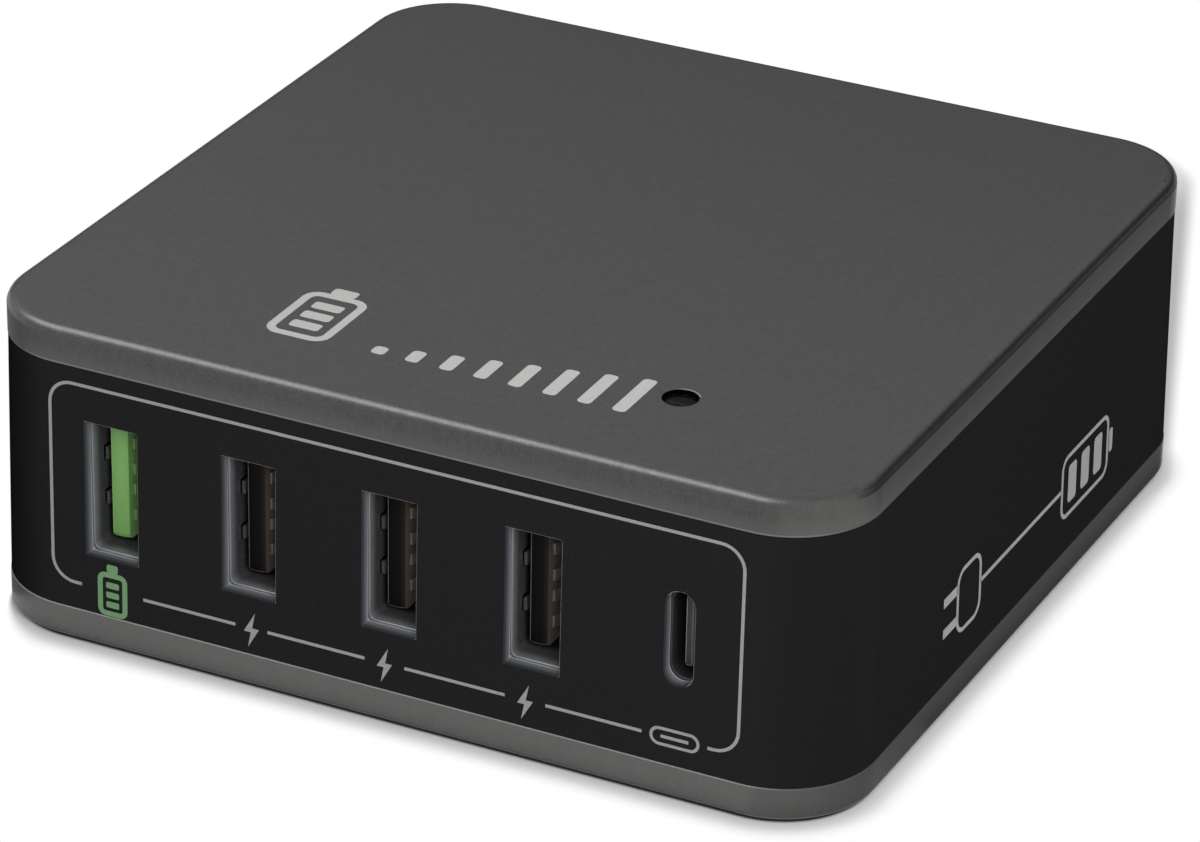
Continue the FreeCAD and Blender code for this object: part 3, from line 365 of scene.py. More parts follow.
def carved(body, tool):
    """What is left of a closed mesh when another is cut out of it."""
    solids = [placed("blank", body), placed("tool", tool)]
    cut = solids[0].modifiers.new("cut", "BOOLEAN")
    cut.solver = "EXACT"
    cut.object = solids[1]
    left = bmesh.new()
    left.from_object(solids[0], bpy.context.evaluated_depsgraph_get())
    for solid in solids:
        bpy.data.meshes.remove(solid.data)
    return left


def piece(name, mesh, material, nodes=(), eased=0.0):
    """Makes a mesh into a piece of the object: smooth but for its edges, which may be eased."""
    shown = placed(name, mesh)
    shown.data.materials.append(material)
    shown.data.shade_smooth()
    shown.data.set_sharp_from_angle(angle=math.radians(32))
    if eased:
        ease = shown.modifiers.new("eased edges", "BEVEL")
        ease.width = eased
        ease.segments = 3
        ease.limit_method = "ANGLE"
        ease.angle_limit = math.radians(32)
        flat = shown.modifiers.new("flat faces", "WEIGHTED_NORMAL")
        flat.keep_sharp = True
    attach(shown, "root")
    if nodes:
        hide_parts(*nodes)
    return shown


SHEET = 0.3 * MM
board_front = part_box("port_board")[0].y


def shell_wall(mesh, centre, width, height, radius, mouth, root):
    """A tube of sheet along Y with a rolled lip; width and height are those of its opening."""
    lip = SHEET / 2
    section = [(SHEET, root)]
    for step in range(9):
        angle = math.pi * step / 8
        section.append((lip + lip * math.cos(angle), mouth + lip - lip * math.sin(angle)))
    section.append((0, root))
    rings = []
    for grown, y in section:
        outline = round_outline(width + 2 * grown, height + 2 * grown, radius + grown)
        rings.append([(centre.x + u, y, centre.z + v) for u, v in outline])
    return skin(mesh, rings, closed=True)


def bar(mesh, outline, low, high):
    """An outline in plan, pushed up from low to high."""
    return skin(mesh, [[(x, y, z) for x, y in outline] for z in (low, high)])


def box_outline(x0, x1, y0, y1):
    return [(x0, y0), (x1, y0), (x1, y1), (x0, y1)]


shell_radius = 0.5 * MM
finger_wide = 1.2 * MM
finger_long = 4.6 * MM
finger_start = 1.8 * MM
finger_slit = 0.2 * MM
finger_spacing = 4.4 * MM
finger_bend = 0.45 * MM
tab_half = 1.0 * MM
tab_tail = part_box("usb_a_shell_1")[1].y


def spring_finger(mesh, wall, side, tip, height):
    """A tongue of the wall that bows into the mouth and lifts again at its tip."""
    bow = []
    for step in range(9):
        along_finger = step / 8
        bent = finger_bend * math.sin(0.72 * math.pi * along_finger)
        bow.append((wall - side * bent, tip + finger_long * (1 - along_finger)))
    outline = bow + [(x + side * SHEET, y) for x, y in reversed(bow)]
    bar(mesh, outline, height - finger_wide / 2, height + finger_wide / 2)


def large_shell(centre, size, mouth):
    width = size.x - 2 * SHEET
    height = size.z - 2 * SHEET
    tube = shell_wall(bmesh.new(), centre, width, height, shell_radius, mouth, board_front)
    windows = bmesh.new()
    springs = [(side, centre.z + up * finger_spacing / 2) for side in (-1, 1) for up in (-1, 1)]
    start = mouth + finger_start
    for side, z in springs:
        wall = centre.x + side * (width + SHEET) / 2
        half = finger_wide / 2 + finger_slit
        bar(windows, box_outline(wall - SHEET, wall + SHEET, start, start + finger_slit + finger_long),
            z - half, z + half)
    shell = carved(tube, windows)
    for side, z in springs:
        spring_finger(shell, centre.x + side * width / 2, side, start + finger_slit, z)
    for z in (centre.z - height / 2 - SHEET, centre.z + height / 2):
        bar(shell, box_outline(centre.x - tab_half, centre.x + tab_half, board_front, tab_tail), z, z + SHEET)
    return shell


def port_steel(dull, bright):
    """Plating scuffed by plugs just inside the mouth, where it is also painted brighter as light
    falls in, duller behind that, and painted dark deeper in as shade.
    """
    def look(place):
        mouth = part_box("usb_a_shell_1")[0].y
        scuffs_and_sheen = ramp(along(place, "Y"), mouth + 1.4 * MM, mouth + 0.1 * MM)
        deep_shade = ramp(along(place, "Y"), mouth + 2.0 * MM, mouth + 3.2 * MM)
        lines = grain(stretched(place, 1, 0.08, 1), 0.1 * MM, 3)
        plating = blend(scuffs_and_sheen, blend(lines, *dull), blend(lines, *bright))
        return {"Base Color": blend(deep_shade, plating, tint(34, 34, 35)),
                "Metallic": 0.5 - 0.1 * scuffs_and_sheen, "Roughness": 0.2 + 0.2 * lines + 0.2 * scuffs_and_sheen,
                "Normal": dents(lines, 0.004 * MM)}
    return look


plated_steel = finish("plated_steel", port_steel((tint(62, 62, 64), tint(92, 92, 94)),
                                                 (tint(102, 103, 105), tint(134, 135, 137))))
for number in range(1, 5):
    low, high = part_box("usb_a_shell_%d" % number)
    shell = large_shell((low + high) / 2, high - low, low.y)
    piece("port_shell_%d" % number, shell, plated_steel, ["usb_a_shell_%d" % number])


# Insulators of the large ports: a moulded block at the back of each shell with a flat tongue that
# reaches almost to the mouth. The first port's is green, which marks the fast one.

tongue_long = 11.4 * MM
tongue_thick = 1.7 * MM
tongue_gap = 0.79 * MM
tongue_bevel = 0.6 * MM
tongue_bevel_long = 0.2 * MM
tongue_end_r = 0.6 * MM
tongue_edge_r = 0.22 * MM
block_long = 4.0 * MM


def tongue_outline(back_face, tip, root):
    """The tongue in plan: a rounded back edge, and a bevel where the plug slides over its contacts."""
    front_face = back_face + tongue_thick
    turns = [math.radians(angle) for angle in (0, 22.5, 45, 67.5, 90)]
    rounded = [(back_face + tongue_edge_r * (1 - math.cos(turn)), tip + tongue_edge_r * (1 - math.sin(turn)))
               for turn in turns]
    return [(back_face, root), *rounded, (front_face - tongue_bevel, tip),
            (front_face, tip + tongue_bevel_long), (front_face, root)]


def insulator(low, high):
    back_face = low.x + tongue_gap
    root = high.y - block_long
    middle = (low + high) / 2
    mesh = bmesh.new()
    corner = [(1 - math.sin(math.pi / 12 * step), 1 - math.cos(math.pi / 12 * step)) for step in range(7)]
    lower = [(tongue_end_r * up - tongue_long / 2, tongue_end_r * back) for back, up in corner]
    upper = [(-height, back) for height, back in reversed(lower)]
    rings = []
    for height, back in lower + upper:
        outline = tongue_outline(back_face, low.y + back, root)
        rings.append([(x, y, middle.z + height) for x, y in outline])
    skin(mesh, rings)
    outline = round_outline(high.x - low.x, high.z - low.z, shell_radius)
    skin(mesh, [[(middle.x + u, y, middle.z + v) for u, v in outline] for y in (root, high.y)])
    return mesh


def insulator_plastic(front, side, edge):
    """Moulded plastic, painted lighter on the side of the contacts as light, with a painted
    highlight along its left and lower edges.
    """
    def look(place):
        flow = grain(stretched(place, 1, 1, 0.15), 0.9 * MM, 2)
        facing = place.add("NewGeometry", output="Normal")
        left = -1 * along(facing, "X")
        down = -1 * along(facing, "Z")
        # Painted highlight on the left- and down-facing edges; the right-facing side is painted lighter as
        # light.
        edge_highlight = ramp(left, 0.2, 0.4) * ramp(left, 0.98, 0.9) + ramp(down, 0.5, 0.6) * ramp(down, 0.95, 0.88)
        colour = blend(ramp(left, -0.15, -0.95), blend(flow, *front), side)
        return {"Base Color": blend(edge_highlight, colour, edge), "Roughness": 0.4 + 0.16 * flow,
                "Normal": dents(flow, 0.02 * MM)}
    return look


green_plastic = finish("moulded_green", insulator_plastic((tint(98, 140, 74), tint(114, 156, 92)),
                                                          tint(122, 172, 98), tint(150, 196, 124)),
                       Specular_IOR_Level=0.3)
black_plastic = finish("moulded_black", insulator_plastic((tint(7, 7, 7), tint(13, 12, 12)),
                                                          tint(98, 89, 83), tint(104, 103, 102)),
                       Specular_IOR_Level=0.05)
for number in range(1, 5):
    node = "usb_a_tongue_%d" % number
    plastic, slot = (green_plastic, "tongue_green") if number == 1 else (black_plastic, "tongue_black")
    piece("port_tongue_%d" % number, insulator(*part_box(node)), plastic, [node])


# Contacts of the large ports: four strips of gold-flashed spring bronze along each tongue. Each is
# arched near its end, where the plug's own contacts press on it, and runs back to the board.
# Those of the first port are painted with a green cast, as a painted reflection of its tongue.

contact_thick = 0.25 * MM
contact_wide = 1.1 * MM
arch_long = 2.4 * MM
arch_rise = 0.35 * MM
contact_inner = 1.0 * MM
contact_outer = 3.5 * MM


def contact_strip(mesh, face, start, end, height):
    under = [(face, end)]
    for step in range(9):
        under.append((face + arch_rise * math.sin(math.pi * step / 8), start + arch_long * (1 - step / 8)))
    outline = under + [(x + contact_thick, y) for x, y in reversed(under)]
    return bar(mesh, outline, height - contact_wide / 2, height + contact_wide / 2)


def tarnished_shaded_gold(low, high):
    def look(place):
        tarnish = grain(place, 0.7 * MM, 3)
        return {"Base Color": blend(tarnish, low, high), "Roughness": 0.24 + 0.25 * tarnish,
                "Normal": dents(tarnish, 0.006 * MM)}
    return look


# The gold is given dark tones, as painted shade for contacts deep in the ports.
gold = finish("tarnished_shaded_gold", tarnished_shaded_gold(tint(84, 76, 68), tint(146, 135, 122)), Metallic=0.6)
gold_green_reflection = finish("gold_green_reflection", tarnished_shaded_gold(tint(92, 128, 68), tint(124, 160, 92)), Metallic=0.3)
for number in range(1, 5):
    node = "usb_a_contacts_%d" % number
    low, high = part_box(node)
    strips = bmesh.new()
    for offset in (-contact_outer, -contact_inner, contact_inner, contact_outer):
        contact_strip(strips, low.x, low.y, high.y, (low.z + high.z) / 2 + offset)
    plating = gold_green_reflection if number == 1 else gold
    piece("port_contacts_%d" % number, strips, plating, [node], eased=0.04 * MM)


# Small port: a drawn oval shell, an insulator whose thin tongue lies in the middle of the mouth,
# and a row of twelve contacts on each face of the tongue.

small_low, small_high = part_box("usb_c_shell")
small_middle = (small_low + small_high) / 2
small_size = small_high - small_low
small_shell = shell_wall(bmesh.new(), small_middle, small_size.x - 2 * SHEET, small_size.z - 2 * SHEET,
                         small_size.x / 2 - SHEET, small_low.y, small_high.y)
# The small shell gets the port plating in darker tones, as painted shade in its narrow mouth.
shaded_steel = finish("shaded_plated_steel", port_steel((tint(30, 30, 31), tint(48, 48, 49)),
                                                 (tint(40, 40, 41), tint(62, 62, 63))))
piece("small_port_shell", small_shell, shaded_steel, ["usb_c_shell"])

blade_long = 6.7 * MM
blade_thick = 0.7 * MM
blade_end_r = 0.3 * MM
blade_edge = 0.12 * MM
blade_root = 6.0 * MM
low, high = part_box("usb_c_tongue")
half = blade_thick / 2
rings = []
for x, inset in ((-half, blade_edge), (blade_edge - half, 0), (half - blade_edge, 0), (half, blade_edge)):
    ring = []
    for u, v in round_outline(2 * blade_end_r, blade_long - 2 * inset, blade_end_r):
        y = low.y + inset + blade_end_r + u if u < -1e-9 else high.y - blade_root
        ring.append((small_middle.x + x, y, small_middle.z + v))
    rings.append(ring)
blade = skin(bmesh.new(), rings)
outline = round_outline(high.x - low.x, high.z - low.z, (high.x - low.x) / 2)
skin(blade, [[(small_middle.x + u, y, small_middle.z + v) for u, v in outline]
             for y in (high.y - blade_root, high.y)])
grey_plastic = finish("moulded_grey", insulator_plastic((tint(26, 26, 26), tint(40, 40, 40)),
                                                        tint(120, 118, 115), tint(190, 188, 186)))
piece("small_port_tongue", blade, grey_plastic, ["usb_c_tongue"])

strip_count = 12
strip_wide = 0.25 * MM
strip_thick = 0.1 * MM
low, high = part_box("usb_c_contacts")
strips = bmesh.new()
for x in (low.x, high.x - strip_thick):
    for index in range(strip_count):
        z = low.z + (high.z - low.z - strip_wide) * index / (strip_count - 1)
        bar(strips, box_outline(x, x + strip_thick, low.y, high.y), z, z + strip_wide)
piece("small_port_contacts", strips, gold, ["usb_c_contacts"])


# Mains inlet: a moulded block with a figure-of-eight socket for a two-pin lead, set flush in the
# back of the band and soldered to the main board. Its two pins are nickel-plated brass.

inlet_low, inlet_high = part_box("mains_inlet")
inlet_middle = (inlet_low + inlet_high) / 2
inlet_size = inlet_high - inlet_low
inlet_r = 2.0 * MM
inlet_edge = 0.3 * MM
socket_r = 4.1 * MM
socket_waist = 6.4 * MM
socket_deep = 11.0 * MM
socket_flare = 0.35 * MM
pin_spacing = 8.6 * MM
pin_r = 1.2 * MM


def eight_outline(grown):
    """The socket's outline: two round ends and a straight waist."""
    r = socket_r + grown
    waist = socket_waist / 2 + grown
    turn = math.asin(waist / r)
    angles = [turn - math.pi + 2 * (math.pi - turn) * step / 20 for step in range(21)]
    right = [(pin_spacing / 2 + r * math.cos(a), r * math.sin(a)) for a in angles]
    return right + [(-u, -v) for u, v in right]


def turned(mesh, profile, centre, steps=32, level=False):
    """A profile of (radius, distance) points turned about an upright axis, or one along Y."""
    rings = []
    for radius, rise in profile:
        ring = []
        for step in range(steps):
            angle = 2 * math.pi * step / steps
            u = radius * math.cos(angle)
            v = radius * math.sin(angle)
            ring.append(centre + (Vector((u, rise, -v)) if level else Vector((u, v, rise))))
        rings.append(ring)
    return skin(mesh, rings)


rings = []
for grown, y in ((-inlet_edge, inlet_high.y), (0, inlet_high.y - inlet_edge), (0, inlet_low.y)):
    outline = round_outline(inlet_size.x + 2 * grown, inlet_size.z + 2 * grown, inlet_r + grown)
    rings.append([(inlet_middle.x + u, y, inlet_middle.z + v) for u, v in outline])
socket = []
for grown, y in ((socket_flare, inlet_high.y + inlet_edge), (socket_flare, inlet_high.y),
                 (0, inlet_high.y - 2 * socket_flare), (0, inlet_high.y - socket_deep)):
    socket.append([(inlet_middle.x + u, y, inlet_middle.z + v) for u, v in eight_outline(grown)])
inlet = carved(skin(bmesh.new(), rings), skin(bmesh.new(), socket))
inlet_black = finish("inlet_black", moulded(tint(24, 24, 25), tint(46, 46, 47), 0.35 * MM, 0.4))
piece("inlet_block", inlet, inlet_black, ["mains_inlet"])
dress(nickel, "inlet_pins")


# Indicator: a water-clear lamp stands on the port board below a smoked lens, which is glued under
# the lid with its stem in a round window, a little lower than the lid's face.

def clear_resin(place):
    swirl = grain(place, 0.5 * MM, 2)
    return {"Base Color": blend(swirl, tint(212, 218, 222), tint(236, 240, 242)),
            "Roughness": 0.06 + 0.1 * swirl}


def smoked_lens(place):
    haze = grain(place, 0.6 * MM, 3)
    smear = ramp(haze, 0.5, 0.75)
    return {"Base Color": blend(smear, tint(9, 9, 10), tint(44, 44, 46)), "Roughness": 0.1 + 0.2 * haze}


dress(finish("clear_resin", clear_resin, Transmission_Weight=0.8), "indicator_led")
lens_low, lens_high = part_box("indicator_lens")
lens_centre = (lens_low + lens_high) / 2
lens_centre.z = 0
flange_r = (lens_high.x - lens_low.x) / 2
stem_r = 1.55 * MM
flange_top = lens_low.z + 0.8 * MM
crown = 0.12 * MM
lens_profile = [(flange_r, lens_low.z), (flange_r, flange_top), (stem_r, flange_top),
                (stem_r, lens_high.z - crown)]
for step in range(1, 7):
    angle = math.pi / 2 * step / 7
    lens_profile.append((stem_r * math.cos(angle), lens_high.z - crown + crown * math.sin(angle)))
lens = turned(bmesh.new(), lens_profile, lens_centre)
piece("indicator_window", lens, finish("smoked_lens", smoked_lens, Specular_IOR_Level=0.02),
      ["indicator_lens"])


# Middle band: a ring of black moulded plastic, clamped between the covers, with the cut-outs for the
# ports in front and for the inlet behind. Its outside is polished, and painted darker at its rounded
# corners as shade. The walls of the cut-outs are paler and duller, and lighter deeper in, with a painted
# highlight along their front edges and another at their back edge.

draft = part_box("top_cover")[0].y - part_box("bottom_cover")[0].y
draft_slope = draft / (band_high.z - band_low.z)


def polished_band(place):
    straight = 33 * MM
    x = along(place, "X")
    height = along(place, "Z") - band_low.z
    depth = along(place, "Y") - band_low.y - draft_slope * height
    facing = place.add("NewGeometry", output="Normal")
    in_front = ramp(x.maths("ABSOLUTE"), straight, 0.98 * straight) * ramp(along(place, "Y"), 0.0, -1 * MM)
    cut_wall = in_front * ramp(depth, 0.02 * MM, 0.12 * MM)
    # Painted highlight along the front edges of the cut-outs.
    edge = in_front * ramp(depth, 0.01 * MM, 0.04 * MM) * ramp(depth, 0.16 * MM, 0.1 * MM)
    edge = edge * (ramp(along(facing, "X"), -0.3, -0.6) + ramp(along(facing, "Z"), -0.3, -0.6))
    # Painted highlight: a pale line at the back edge of the cut-out walls.
    inner_lip_highlight = in_front * ramp(depth, 1.0 * MM, 1.12 * MM)
    smears = grain(stretched(place, 0.5, 0.5, 1), 9 * MM, 4)
    specks = grain(place, 0.2 * MM, 2)
    black = blend(specks, tint(23, 23, 23), tint(34, 34, 34))
    # Painted shade: the band's rounded corners are painted darker.
    corner_light_and_shade = ramp((along(facing, "X") * along(facing, "Y")).maths("ABSOLUTE"), 0.1, 0.5)
    black = blend(0.3 * corner_light_and_shade, black, tint(14, 14, 14))
    wall = blend(ramp(depth, 0.1 * MM, 1.0 * MM), tint(52, 54, 58), tint(104, 107, 112))
    wall = blend(inner_lip_highlight, wall, tint(146, 148, 150))
    colour = blend(cut_wall, black, wall)
    return {"Base Color": blend(edge, colour, tint(128, 128, 128)),
            "Roughness": 0.3 + 0.12 * smears + 0.2 * cut_wall, "Normal": dents(specks, 0.002 * MM)}


dress(finish("polished_band", polished_band, Specular_IOR_Level=0.0), "middle_band")


# Top cover: a lid with a soft upper edge, lacquered like the tray, over the band and the lens.
# Its four posts take the long screws.

dress(lacquer, "top_cover")


# Screws: four long ones come up through the tray into the lid's posts, and four short ones hold the
# main board. They are zinc plated.

def zinc_plate(place):
    bloom = grain(place, 0.5 * MM, 3)
    return {"Base Color": blend(bloom, tint(150, 152, 158), tint(196, 198, 202)),
            "Roughness": 0.25 + 0.3 * bloom, "Normal": dents(bloom, 0.01 * MM)}


dress(finish("zinc_plate", zinc_plate, Metallic=1.0), "housing_screws", "board_screws")


# Feet: soft rubber pads, glued into round recesses over the long screws. Each has an eased edge
# and a shallow ring moulded into its face.

foot_ease = 0.3 * MM
ring_r = 2.6 * MM
ring_half = 0.35 * MM
ring_deep = 0.15 * MM


def soft_rubber(place):
    dust = grain(place, 0.9 * MM, 4)
    tooth = grain(place, 0.12 * MM, 2)
    return {"Base Color": blend(dust, tint(28, 28, 28), tint(58, 57, 55)), "Roughness": 0.7 + 0.25 * dust,
            "Normal": dents(tooth, 0.02 * MM)}


rubber = finish("soft_rubber", soft_rubber, Specular_IOR_Level=0.3)
for number in range(1, 5):
    node = "rubber_foot_%d" % number
    low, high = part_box(node)
    centre = (low + high) / 2
    centre.z = 0
    foot_r = (high.x - low.x) / 2
    profile = [(ring_r - ring_half, low.z), (ring_r, low.z + ring_deep), (ring_r + ring_half, low.z)]
    for step in range(6):
        angle = math.pi / 2 * step / 5
        radius = foot_r - foot_ease + foot_ease * math.sin(angle)
        profile.append((radius, low.z + foot_ease - foot_ease * math.cos(angle)))
    profile.append((foot_r, high.z))
    piece("foot_%d" % number, turned(bmesh.new(), profile, centre), rubber, [node])


# Print on the front: a thin warm-grey line round the ports, broken along the bottom for a mark under
# each port. It is pad printed on the band, as are the marks: a battery, three bolts and a port.

INK = 0.02 * MM
line_wide = 0.3 * MM


def on_front(u, v, rise):
    return (u, band_low.y + draft_slope * (v - band_low.z) - rise, v)


def stroke(mesh, path, width, surface, closed=False):
    """A line of ink along a path in (u, v), with mitred turns."""
    points = [Vector(point) for point in path]
    last = len(points) - 1
    rings = []
    for i, point in enumerate(points):
        before = points[i - 1] if closed or i > 0 else None
        after = points[(i + 1) % (last + 1)] if closed or i < last else None
        arrive = (point - before).normalized() if before else (after - point).normalized()
        leave = (after - point).normalized() if after else arrive
        across = Vector((-(arrive + leave).y, (arrive + leave).x)).normalized()
        across *= width / 2 / max(0.3, across.dot(Vector((-arrive.y, arrive.x))))
        left = point + across
        right = point - across
        rings.append([surface(*left, -INK), surface(*right, -INK), surface(*right, INK), surface(*left, INK)])
    return skin(mesh, rings, closed)


def patch(mesh, outline, surface):
    """A filled shape of ink."""
    return skin(mesh, [[surface(u, v, rise) for u, v in outline] for rise in (-INK, INK)])


def moved(outline, u, v):
    return [(u + du, v + dv) for du, dv in outline]


def arc(u, v, radius, start, steps=8):
    """A quarter turn clockwise about (u, v), from a start in degrees."""
    angles = [math.radians(start - 90 * step / steps) for step in range(steps + 1)]
    return [(u + radius * math.cos(a), v + radius * math.sin(a)) for a in angles]


def bolt_outline(height):
    """A plain zigzag bolt, about the origin."""
    half = [(0.10, 0.5), (-0.22, -0.06), (-0.02, -0.06)]
    return [(height * u, height * v) for u, v in half + [(-u, -v) for u, v in half]]


def battery(mesh, u, v, width, height, line, surface):
    """An upright battery: an outlined body with its cap."""
    stroke(mesh, moved(round_outline(width, height, width / 5, 4), u, v), line, surface, closed=True)
    cap = round_outline(width * 0.45, line * 1.6, line * 0.4, 3)
    patch(mesh, moved(cap, u, v + height / 2 + line * 1.3), surface)


def ink(name, colour, darker):
    def look(place):
        cover = grain(place, 0.25 * MM, 3)
        return {"Base Color": blend(cover, darker, colour), "Roughness": 0.45 + 0.2 * cover}
    return finish(name, look)


warm_grey = ink("warm_grey_ink", tint(135, 133, 131), tint(115, 113, 111))
port_places = [sum(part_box("usb_a_shell_%d" % number), Vector()).x / 2 for number in range(1, 5)]
port_places.append(small_middle.x)
line_left = -33.7 * MM
line_right = 33.14 * MM
line_top = 25.7 * MM
line_bottom = 6.22 * MM
corner_r = 2.2 * MM
left_end = -30.77 * MM
right_end = 30.35 * MM
segments = [(-24.5 * MM, -15.2 * MM), (-12.0 * MM, -2.4 * MM), (1.5 * MM, 11.2 * MM), (15.1 * MM, 24.2 * MM)]
front_print = bmesh.new()
path = [(left_end, line_bottom)]
path += arc(line_left + corner_r, line_bottom + corner_r, corner_r, 270)
path += arc(line_left + corner_r, line_top - corner_r, corner_r, 180)
path += arc(line_right - corner_r, line_top - corner_r, corner_r, 90)
path += arc(line_right - corner_r, line_bottom + corner_r, corner_r, 0)
path.append((right_end, line_bottom))
stroke(front_print, path, line_wide, on_front)
for start, end in segments:
    stroke(front_print, [(start, line_bottom), (end, line_bottom)], line_wide, on_front)
bolt_high = 3.4 * MM
bolt_drop = 0.2 * MM
for before, after in zip(segments, segments[1:]):
    u = (before[1] + after[0]) / 2
    patch(front_print, moved(bolt_outline(bolt_high), u, line_bottom - bolt_drop), on_front)
socket_mark = round_outline(4.4 * MM, 1.5 * MM, 0.75 * MM)
slit_half = 1.3 * MM
u = (segments[-1][1] + right_end) / 2
stroke(front_print, moved(socket_mark, u, line_bottom), 0.28 * MM, on_front, closed=True)
stroke(front_print, [(u - slit_half, line_bottom), (u + slit_half, line_bottom)], line_wide, on_front)
piece("front_print", front_print, warm_grey)

green_ink = ink("green_ink", tint(88, 128, 85), tint(76, 112, 74))
charge_mark = bmesh.new()
u = (left_end + segments[0][0]) / 2
battery(charge_mark, u, line_bottom - 0.35 * MM, 2.5 * MM, 3.8 * MM, 0.5 * MM, on_front)
for level in range(3):
    cell = round_outline(1.3 * MM, 0.6 * MM, 0.12 * MM, 2)
    patch(charge_mark, moved(cell, u, line_bottom - 1.35 * MM + level * 0.95 * MM), on_front)
piece("green_charge_mark", charge_mark, green_ink)


# Print on the lid: a battery and a row of rising charge bars in pale grey, in front of the middle.

pale_grey = ink("pale_grey_ink", tint(200, 199, 197), tint(178, 177, 175))
lid_top = cad_high.z


def on_lid(u, v, rise):
    return (u, v, lid_top + rise)


lid_print = bmesh.new()
mark_v = -28.4 * MM
battery(lid_print, -14.0 * MM, mark_v - 0.4 * MM, 5.4 * MM, 8.2 * MM, 0.8 * MM, on_lid)
for level in range(3):
    cell = round_outline(2.9 * MM, 1.3 * MM, 0.3 * MM, 3)
    patch(lid_print, moved(cell, -14.0 * MM, mark_v + (2.0 * level - 2.4) * MM), on_lid)
bar_count = 8
for index in range(bar_count):
    high = (1.4 + 0.75 * index) * MM
    level = round_outline(1.3 * MM, high, 0.4 * MM, 4)
    patch(lid_print, moved(level, (-6.0 + 3.3 * index) * MM, mark_v - 4.4 * MM + high / 2), on_lid)
piece("lid_print", lid_print, pale_grey)


# Print on the right side: a plug, its line and a battery, in thin grey lines on the band.

side_grey = ink("side_grey_ink", tint(158, 157, 155), tint(130, 129, 127))


def on_side(u, v, rise):
    return (band_high.x - draft_slope * (v - band_low.z) + rise, u, v)


side_print = bmesh.new()
mark_z = 10.3 * MM
thin = 0.42 * MM
plug = round_outline(5.0 * MM, 6.0 * MM, 1.4 * MM)
stroke(side_print, moved(plug, -13.0 * MM, mark_z), thin, on_side, closed=True)
for prong in (-1.5 * MM, 1.5 * MM):
    stroke(side_print, [(-18.6 * MM, mark_z + prong), (-15.5 * MM, mark_z + prong)], 0.9 * MM, on_side)
stroke(side_print, [(-10.5 * MM, mark_z), (8.5 * MM, mark_z)], thin, on_side)
cells = round_outline(11.0 * MM, 6.0 * MM, 1.2 * MM)
stroke(side_print, moved(cells, 14.0 * MM, mark_z), thin, on_side, closed=True)
for index in range(3):
    cell = round_outline(1.9 * MM, 3.8 * MM, 0.4 * MM, 3)
    patch(side_print, moved(cell, (10.9 + 3.1 * index) * MM, mark_z), on_side)
patch(side_print, moved(round_outline(0.8 * MM, 2.4 * MM, 0.3 * MM, 3), 20.3 * MM, mark_z), on_side)
piece("side_print", side_print, side_grey)


# Floor and surroundings: a white sweep that keeps the shadow, and white all round it. The shadow lies
# close round the tray, but for its left, where the floor's colour is also painted darker as a shadow.
# Behind the tray a painted shadow lies as a lamp beside the camera would throw it.

def ray(start, kind):
    return start.add("LightPath", output="Is %s Ray" % kind)


def reflected(start):
    return ray(start, "Glossy").maths("MAXIMUM", ray(start, "Transmission"))


def seen_directly(start):
    """1 for what the camera sees, also in a mirror or through glass, and 0 for light on a surface."""
    return ray(start, "Camera").maths("MAXIMUM", reflected(start))


floor_half = 3.0
floor_mesh = bpy.data.meshes.new("floor")
corners = [(-floor_half, -floor_half, 0), (floor_half, -floor_half, 0),
           (floor_half, floor_half, 0), (-floor_half, floor_half, 0)]
floor_mesh.from_pydata(corners, [], [(0, 1, 2, 3)])
floor = bpy.data.objects.new("floor", floor_mesh)
bpy.context.scene.collection.objects.link(floor)
tray_low, tray_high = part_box("bottom_cover")
tray_r = 8.8 * MM
under_tray = 0.5 * MM
contact_reach = 2.0 * MM
shadow_reach = 2.7 * MM
mirror_reach = 3.0 * MM
shadow_left = (-42.5 * MM, -34.5 * MM)
paper = bpy.data.materials.new("white_paper")
paper.use_nodes = True
start = Shade(paper.node_tree)
place = start.add("TexCoord", output="Object")
x = along(place, "X")
y = along(place, "Y")


def from_outline(x, y):
    """How far a place on the floor is from the outline of the tray."""
    beside = (x.maths("ABSOLUTE") - (tray_high.x - tray_r)).maths("MAXIMUM", 0.0)
    before = (y.maths("ABSOLUTE") - (tray_high.y - tray_r)).maths("MAXIMUM", 0.0)
    return (beside * beside + before * before).maths("SQRT") - tray_r


away = from_outline(x, y)
fibres = grain(place, 2 * MM, 3)
white = blend(fibres, (0.9, 0.9, 0.9, 1), (0.94, 0.94, 0.94, 1))
to_right = 0.1 + 0.9 * ramp(x, *shadow_left)
# Painted shadow: the floor's colour is darker close round the tray and near black under it.
painted_contact_shadow = blend(ramp(away, 0.0, contact_reach * to_right), (0.74, 0.74, 0.74, 1), white)
painted_contact_shadow = blend(ramp(away, -2 * under_tray, -under_tray), (0.05, 0.05, 0.05, 1), painted_contact_shadow)
matt = start.add("BsdfDiffuse", {}, {"Color": painted_contact_shadow})
